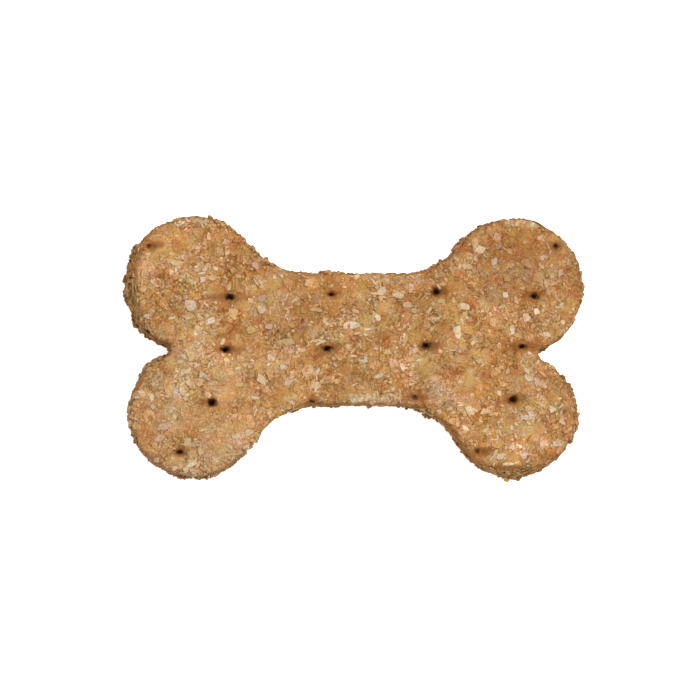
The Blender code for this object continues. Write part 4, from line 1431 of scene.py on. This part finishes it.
def noise(tree, place, size, detail=2.0, roughness=0.5):
    """Smooth random values with features of the given size in metres."""
    return node(tree, "ShaderNodeTexNoise", {"Vector": place, "Scale": 1.0 / size,
                                             "Detail": detail, "Roughness": roughness})


def stored(tree, name):
    """A number stored on the mesh."""
    return node(tree, "ShaderNodeAttribute", attribute_name=name).outputs["Fac"]


def stretch(tree, value, low, high, new_low=0.0, new_high=1.0):
    """A value mapped from one range to another and held within it."""
    return node(tree, "ShaderNodeMapRange", {"Value": value, "From Min": low, "From Max": high,
                                             "To Min": new_low, "To Max": new_high}).outputs[0]


# %% Stains
# The size and octaves of a noise, and for each of its channels, which are random on their own,
# the range of values used and the factors on red, green and blue at its two ends
STAINS = (
    (0.012, 2.0, ((0.36, 0.64, (0.86, 0.79, 0.68), (1.11, 1.18, 1.29)),
                  (0.38, 0.62, (1.04, 0.98, 0.91), (0.965, 1.02, 1.09)))),
    (0.0032, 2.0, ((0.36, 0.64, (0.93, 0.885, 0.80), (1.055, 1.095, 1.165)),
                   (0.38, 0.62, (0.96, 1.02, 1.025), (1.055, 0.965, 0.93)),
                   (0.36, 0.64, (1.00, 1.005, 0.96), (1.00, 0.995, 1.04)))),
    (0.00028, 1.0, ((0.30, 0.70, (0.84, 0.78, 0.70), (1.14, 1.20, 1.29)),)),
)


def stained(tree, place, colour):
    """A colour under the stains that dough and bran share: broad, middling, and a fine grain."""
    for size, octaves, layers in STAINS:
        channels = node(tree, "ShaderNodeSeparateColor",
                        {0: noise(tree, place, size, octaves, 0.6).outputs["Color"]})
        for channel, (low, high, darker, lighter) in enumerate(layers):
            factor = ramp(tree, channels.outputs[channel], ((low, (*darker, 1.0)), (high, (*lighter, 1.0))))
            colour = blend_colours(tree, 1.0, colour, factor, "MULTIPLY")
    return colour


# %% Dough material: meal and bran
# Sizes in metres: the bending of the cells' edges, the noises that pick the meal, and the cells
WANDER = 0.0009
PATCH_SIZE, MEAL_SIZE = 0.0042, 0.0028
COARSE_CELL, FINE_CELL = 0.0011, 0.00048
# Where each colour of the cells begins on a random number from 0 to 1
COARSE_STOPS = ((0.0, "tan"), (0.24, "ochre"), (0.36, "pink_beige"), (0.52, "rose"), (0.64, "cream"),
                (0.76, "rust"), (0.84, "dark_bake_and_seam_shade"))
FINE_STOPS = ((0.0, "light_meal"), (0.24, "baked"), (0.46, "pale_meal"), (0.60, "dark_meal"),
              (0.84, "light_meal"))
# Where on a value each layer begins and is at its full, and its shares there unless 0 and 1
BAKED_RANGE, ROSY_RANGE = (0.35, 0.62), (0.52, 0.70)
COARSE_RANGE, COARSE_BY_PATCH = (0.50, 0.54), (0.60, 0.42, 0.10, 0.65)
FINE_RANGE, FINE_SHARE = (0.45, 0.5), 0.40


def bent_place(tree, place):
    """The place moved by noise, place + size (noise - 1/2), so that cells get crooked edges."""
    wander = noise(tree, place, WANDER).outputs["Color"]
    shift = node(tree, "ShaderNodeVectorMath", {0: wander, 1: (0.5, 0.5, 0.5)}, operation="SUBTRACT")
    shift = node(tree, "ShaderNodeVectorMath", {0: shift.outputs[0], "Scale": WANDER}, operation="SCALE")
    return node(tree, "ShaderNodeVectorMath", {0: place, 1: shift.outputs[0]}, operation="ADD").outputs[0]


def bran_cells(tree, place, size, stops, metric="EUCLIDEAN"):
    """Cells of fine bran: a colour for each cell from named stops, and another random number."""
    cells = node(tree, "ShaderNodeTexVoronoi", {"Vector": place, "Scale": 1.0 / size},
                 feature="F1", distance=metric)
    value = node(tree, "ShaderNodeSeparateColor", {0: cells.outputs["Color"]})
    colours = [(start, paint(name)) for start, name in stops]
    return ramp(tree, value.outputs[0], colours, steps=True), value.outputs[1]


def meal_and_bran(tree, place, bent, meal, bran):
    """Meal in three tones, then coarse and fine cells of bran, fewer where the meal is bare."""
    patch = noise(tree, place, PATCH_SIZE, 3.0).outputs[0]
    colour = coat(tree, paint("yellow_meal"), stretch(tree, patch, *BAKED_RANGE), "baked")
    colour = coat(tree, colour, stretch(tree, meal, *ROSY_RANGE), "rosy_meal")
    coarse, chance = bran_cells(tree, bent, COARSE_CELL, COARSE_STOPS)
    shown = times(tree, stretch(tree, chance, *COARSE_RANGE), stretch(tree, patch, *COARSE_BY_PATCH))
    colour = blend_colours(tree, times(tree, shown, bran), colour, coarse)
    fine, chance = bran_cells(tree, bent, FINE_CELL, FINE_STOPS, "MANHATTAN")
    shown = times(tree, stretch(tree, chance, *FINE_RANGE), FINE_SHARE)
    return blend_colours(tree, times(tree, shown, bran), colour, fine)


# %% Dough material: baking
UNEVEN_RANGE = (0.3, 0.7, 0.4, 1.3)
SIDE_HEIGHTS, WALL_RANGE = (0.003, 0.006), (0.15, 0.8, 0.0, 0.80)
# How much bare dough hides bran, and the share of painted shade in the crevices
BARE_HIDES_BRAN, CREVICE_SHADE = 0.85, 0.8
# Painted shade along the coarse cells' edges, and the grooves that the bump sinks there
SEAM_SHADE_RANGE, SEAM_RELIEF = (0.0, 0.10, 0.35, 0.0), (0.0, 0.12)
SMEAR_RANGE, BURNT_RANGE = (0.10, 0.50, 0.0, 0.75), (0.55, 1.10, 0.0, 0.6)
# Painted shade down a docking hole: where it starts in the shaft, and where the core's colour starts
SHAFT_SHADE_RANGE, CORE_SHADE_RANGE = (0.05, 0.50), (0.45, 0.90)
GRIT_SIZE, GRIT_ROUGHNESS = 0.00035, (0.3, 0.7, 0.72, 0.92)
GRIT_SHARE, SEAM_SHARE = 0.6, 0.5
DOUGH_BUMP = {"Strength": 0.55, "Distance": 0.00016}
DOUGH_SHINE = 0.12


def baked_over(tree, place, colour, uneven):
    """The rim's and the wall's brown, then the colours of the named patches."""
    rim = times(tree, times(tree, stored(tree, "rim"), uneven), RIM_ON_DOUGH)
    colour = coat(tree, colour, rim, "dark_bake_and_seam_shade")
    height = node(tree, "ShaderNodeSeparateXYZ", {0: place}).outputs[2]
    side = coat(tree, paint("side_foot"), stretch(tree, height, *SIDE_HEIGHTS), "side_bake")
    colour = blend_colours(tree, stretch(tree, stored(tree, "wall"), *WALL_RANGE), colour, side)
    for kind, (_, name, on_dough, _) in PATCHES.items():
        share = times(tree, stored(tree, kind), on_dough)
        colour = coat(tree, colour, times(tree, share, uneven, True), name)
    return colour


def dough_material():
    """Baked bran dough: meal, bran and browning, then painted shade in seams and crevices, smears, and
    painted shade down the holes.
    """
    material, tree, shader = new_material("baked_dough")
    place = node(tree, "ShaderNodeTexCoord").outputs["Object"]
    bent = bent_place(tree, place)
    edge = node(tree, "ShaderNodeTexVoronoi", {"Vector": bent, "Scale": 1.0 / COARSE_CELL},
                feature="DISTANCE_TO_EDGE").outputs["Distance"]
    meal = noise(tree, place, MEAL_SIZE, 2.0, 0.6).outputs[0]
    uneven = stretch(tree, meal, *UNEVEN_RANGE)
    bran = math_node(tree, "SUBTRACT", 1.0, times(tree, stored(tree, "bare"), BARE_HIDES_BRAN))

    colour = meal_and_bran(tree, place, bent, meal, bran)
    colour = baked_over(tree, place, colour, uneven)
    # Painted shade in the grooves that the bump sinks along the coarse cells' edges
    colour = coat(tree, colour, times(tree, stretch(tree, edge, *SEAM_SHADE_RANGE), bran), "dark_bake_and_seam_shade")
    # Painted shade in the crevices between the plates of the relief
    colour = coat(tree, colour, times(tree, stored(tree, "crevice"), CREVICE_SHADE, True), "gap")
    ragged = times(tree, stored(tree, "scorch"), uneven)
    colour = coat(tree, colour, stretch(tree, ragged, *SMEAR_RANGE), "smear")
    colour = coat(tree, colour, stretch(tree, ragged, *BURNT_RANGE), "burnt_and_hole_shade")
    colour = stained(tree, place, colour)
    # Painted shade down a docking hole: darker in its shaft, and the core colour deepest in it
    shaft = stored(tree, "shaft")
    colour = coat(tree, colour, stretch(tree, shaft, *SHAFT_SHADE_RANGE), "burnt_and_hole_shade")
    colour = coat(tree, colour, stretch(tree, shaft, *CORE_SHADE_RANGE), "deep_hole_shade")

    grit = noise(tree, place, GRIT_SIZE, 3.0, 0.65).outputs[0]
    height = math_node(tree, "ADD", times(tree, grit, GRIT_SHARE),
                       times(tree, stretch(tree, edge, *SEAM_RELIEF), SEAM_SHARE))
    bump = node(tree, "ShaderNodeBump", {**DOUGH_BUMP, "Height": height})
    feed(tree, shader, {"Base Color": colour, "Roughness": stretch(tree, grit, *GRIT_ROUGHNESS),
                        "Specular IOR Level": DOUGH_SHINE, "Normal": bump.outputs[0]})
    return material


# %% Bran material
MOTTLE_SIZE, MOTTLE_ROUGHNESS = 0.00055, (0.3, 0.7, 0.62, 0.85)
COVER_SIZE, COVER_RANGE = 0.0011, (0.50, 0.60, 0.0, 0.75)
BRAN_BUMP = {"Strength": 0.5, "Distance": 0.0001}
BRAN_SHINE = 0.15


def bran_material():
    """Bran flakes: their own colour, mottled, with smears of dough."""
    material, tree, shader = new_material("bran_flakes")
    place = node(tree, "ShaderNodeTexCoord").outputs["Object"]
    own = node(tree, "ShaderNodeAttribute", attribute_name="bran").outputs["Color"]
    mottle = noise(tree, place, MOTTLE_SIZE, 3.0, 0.6).outputs[0]
    smear = noise(tree, place, COVER_SIZE, 3.0, 0.65).outputs[0]
    covered = times(tree, stretch(tree, smear, *COVER_RANGE), stored(tree, "cover"))
    colour = stained(tree, place, coat(tree, own, covered, "baked"))
    bump = node(tree, "ShaderNodeBump", {**BRAN_BUMP, "Height": mottle})
    feed(tree, shader, {"Base Color": colour, "Roughness": stretch(tree, mottle, *MOTTLE_ROUGHNESS),
                        "Specular IOR Level": BRAN_SHINE, "Normal": bump.outputs[0]})
    return material


bran_pieces = [large_top, large_wall, eye_catching, medium, slivers, small, crumbs, fibres]
dough.data.materials.append(dough_material())
bran = bran_material()
for piece in bran_pieces:
    piece.data.materials.append(bran)
print(len(bran_pieces) + 1, "pieces with materials")

# %% [markdown]
# ## Floor and light
# The biscuit lies on a plain pale floor in a bright room: a white world fills the shadows,
# and one wide soft lamp on the far side draws the relief, as the shadows under the flakes'
# near edges ask for.

# %% Floor
FLOOR_SIZE = 1.2
FLOOR_GAP = 0.00002
FLOOR_COLOUR = (0.93, 0.93, 0.93, 1.0)
FLOOR_GLOW = 0.65
WHITE = (1.0, 1.0, 1.0, 1.0)


def make_floor():
    """A flat square just under the biscuit."""
    half = FLOOR_SIZE / 2
    points = np.array(((-half, -half, -FLOOR_GAP), (half, -half, -FLOOR_GAP),
                       (half, half, -FLOOR_GAP), (-half, half, -FLOOR_GAP)))
    floor = build_mesh("floor", points, np.array(((0, 1, 2, 3),)), False)
    material, tree, shader = new_material("pale_floor")
    feed(tree, shader, {"Base Color": FLOOR_COLOUR, "Roughness": 0.9, "Emission Color": WHITE,
                        "Emission Strength": FLOOR_GLOW})
    floor.data.materials.append(material)
    return floor


floor = make_floor()
print("floor", FLOOR_SIZE, "m wide")

# %% Light
WORLD_STRENGTH = 0.50
KEY_POWER = 8.0
KEY_SIZE = 0.5
KEY_PLACE = (0.14, 0.13, 0.84)


def make_light():
    """A white world and one wide lamp aimed at the biscuit."""
    world = bpy.data.worlds.new("pale room")
    world.use_nodes = True
    feed(world.node_tree, world.node_tree.nodes["Background"],
         {"Color": WHITE, "Strength": WORLD_STRENGTH})
    bpy.context.scene.world = world
    data = bpy.data.lights.new("soft lamp", "AREA")
    data.shape = "DISK"
    data.size = KEY_SIZE
    data.energy = KEY_POWER
    lamp = bpy.data.objects.new("soft lamp", data)
    lamp.matrix_world = standing(KEY_PLACE, unit(np.array(KEY_PLACE)), (0.0, 0.0, 1.0))
    bpy.context.scene.collection.objects.link(lamp)
    bpy.context.scene.view_settings.view_transform = "Standard"


make_light()
print("lamp at", KEY_PLACE)

# %% [markdown]
# ## The pieces in place of the solid
# The dough and the bran stand for the solid biscuit and ride on its one body.

# %% Ride and replace
for piece in [dough] + bran_pieces:
    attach(piece, "root")
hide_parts("biscuit")
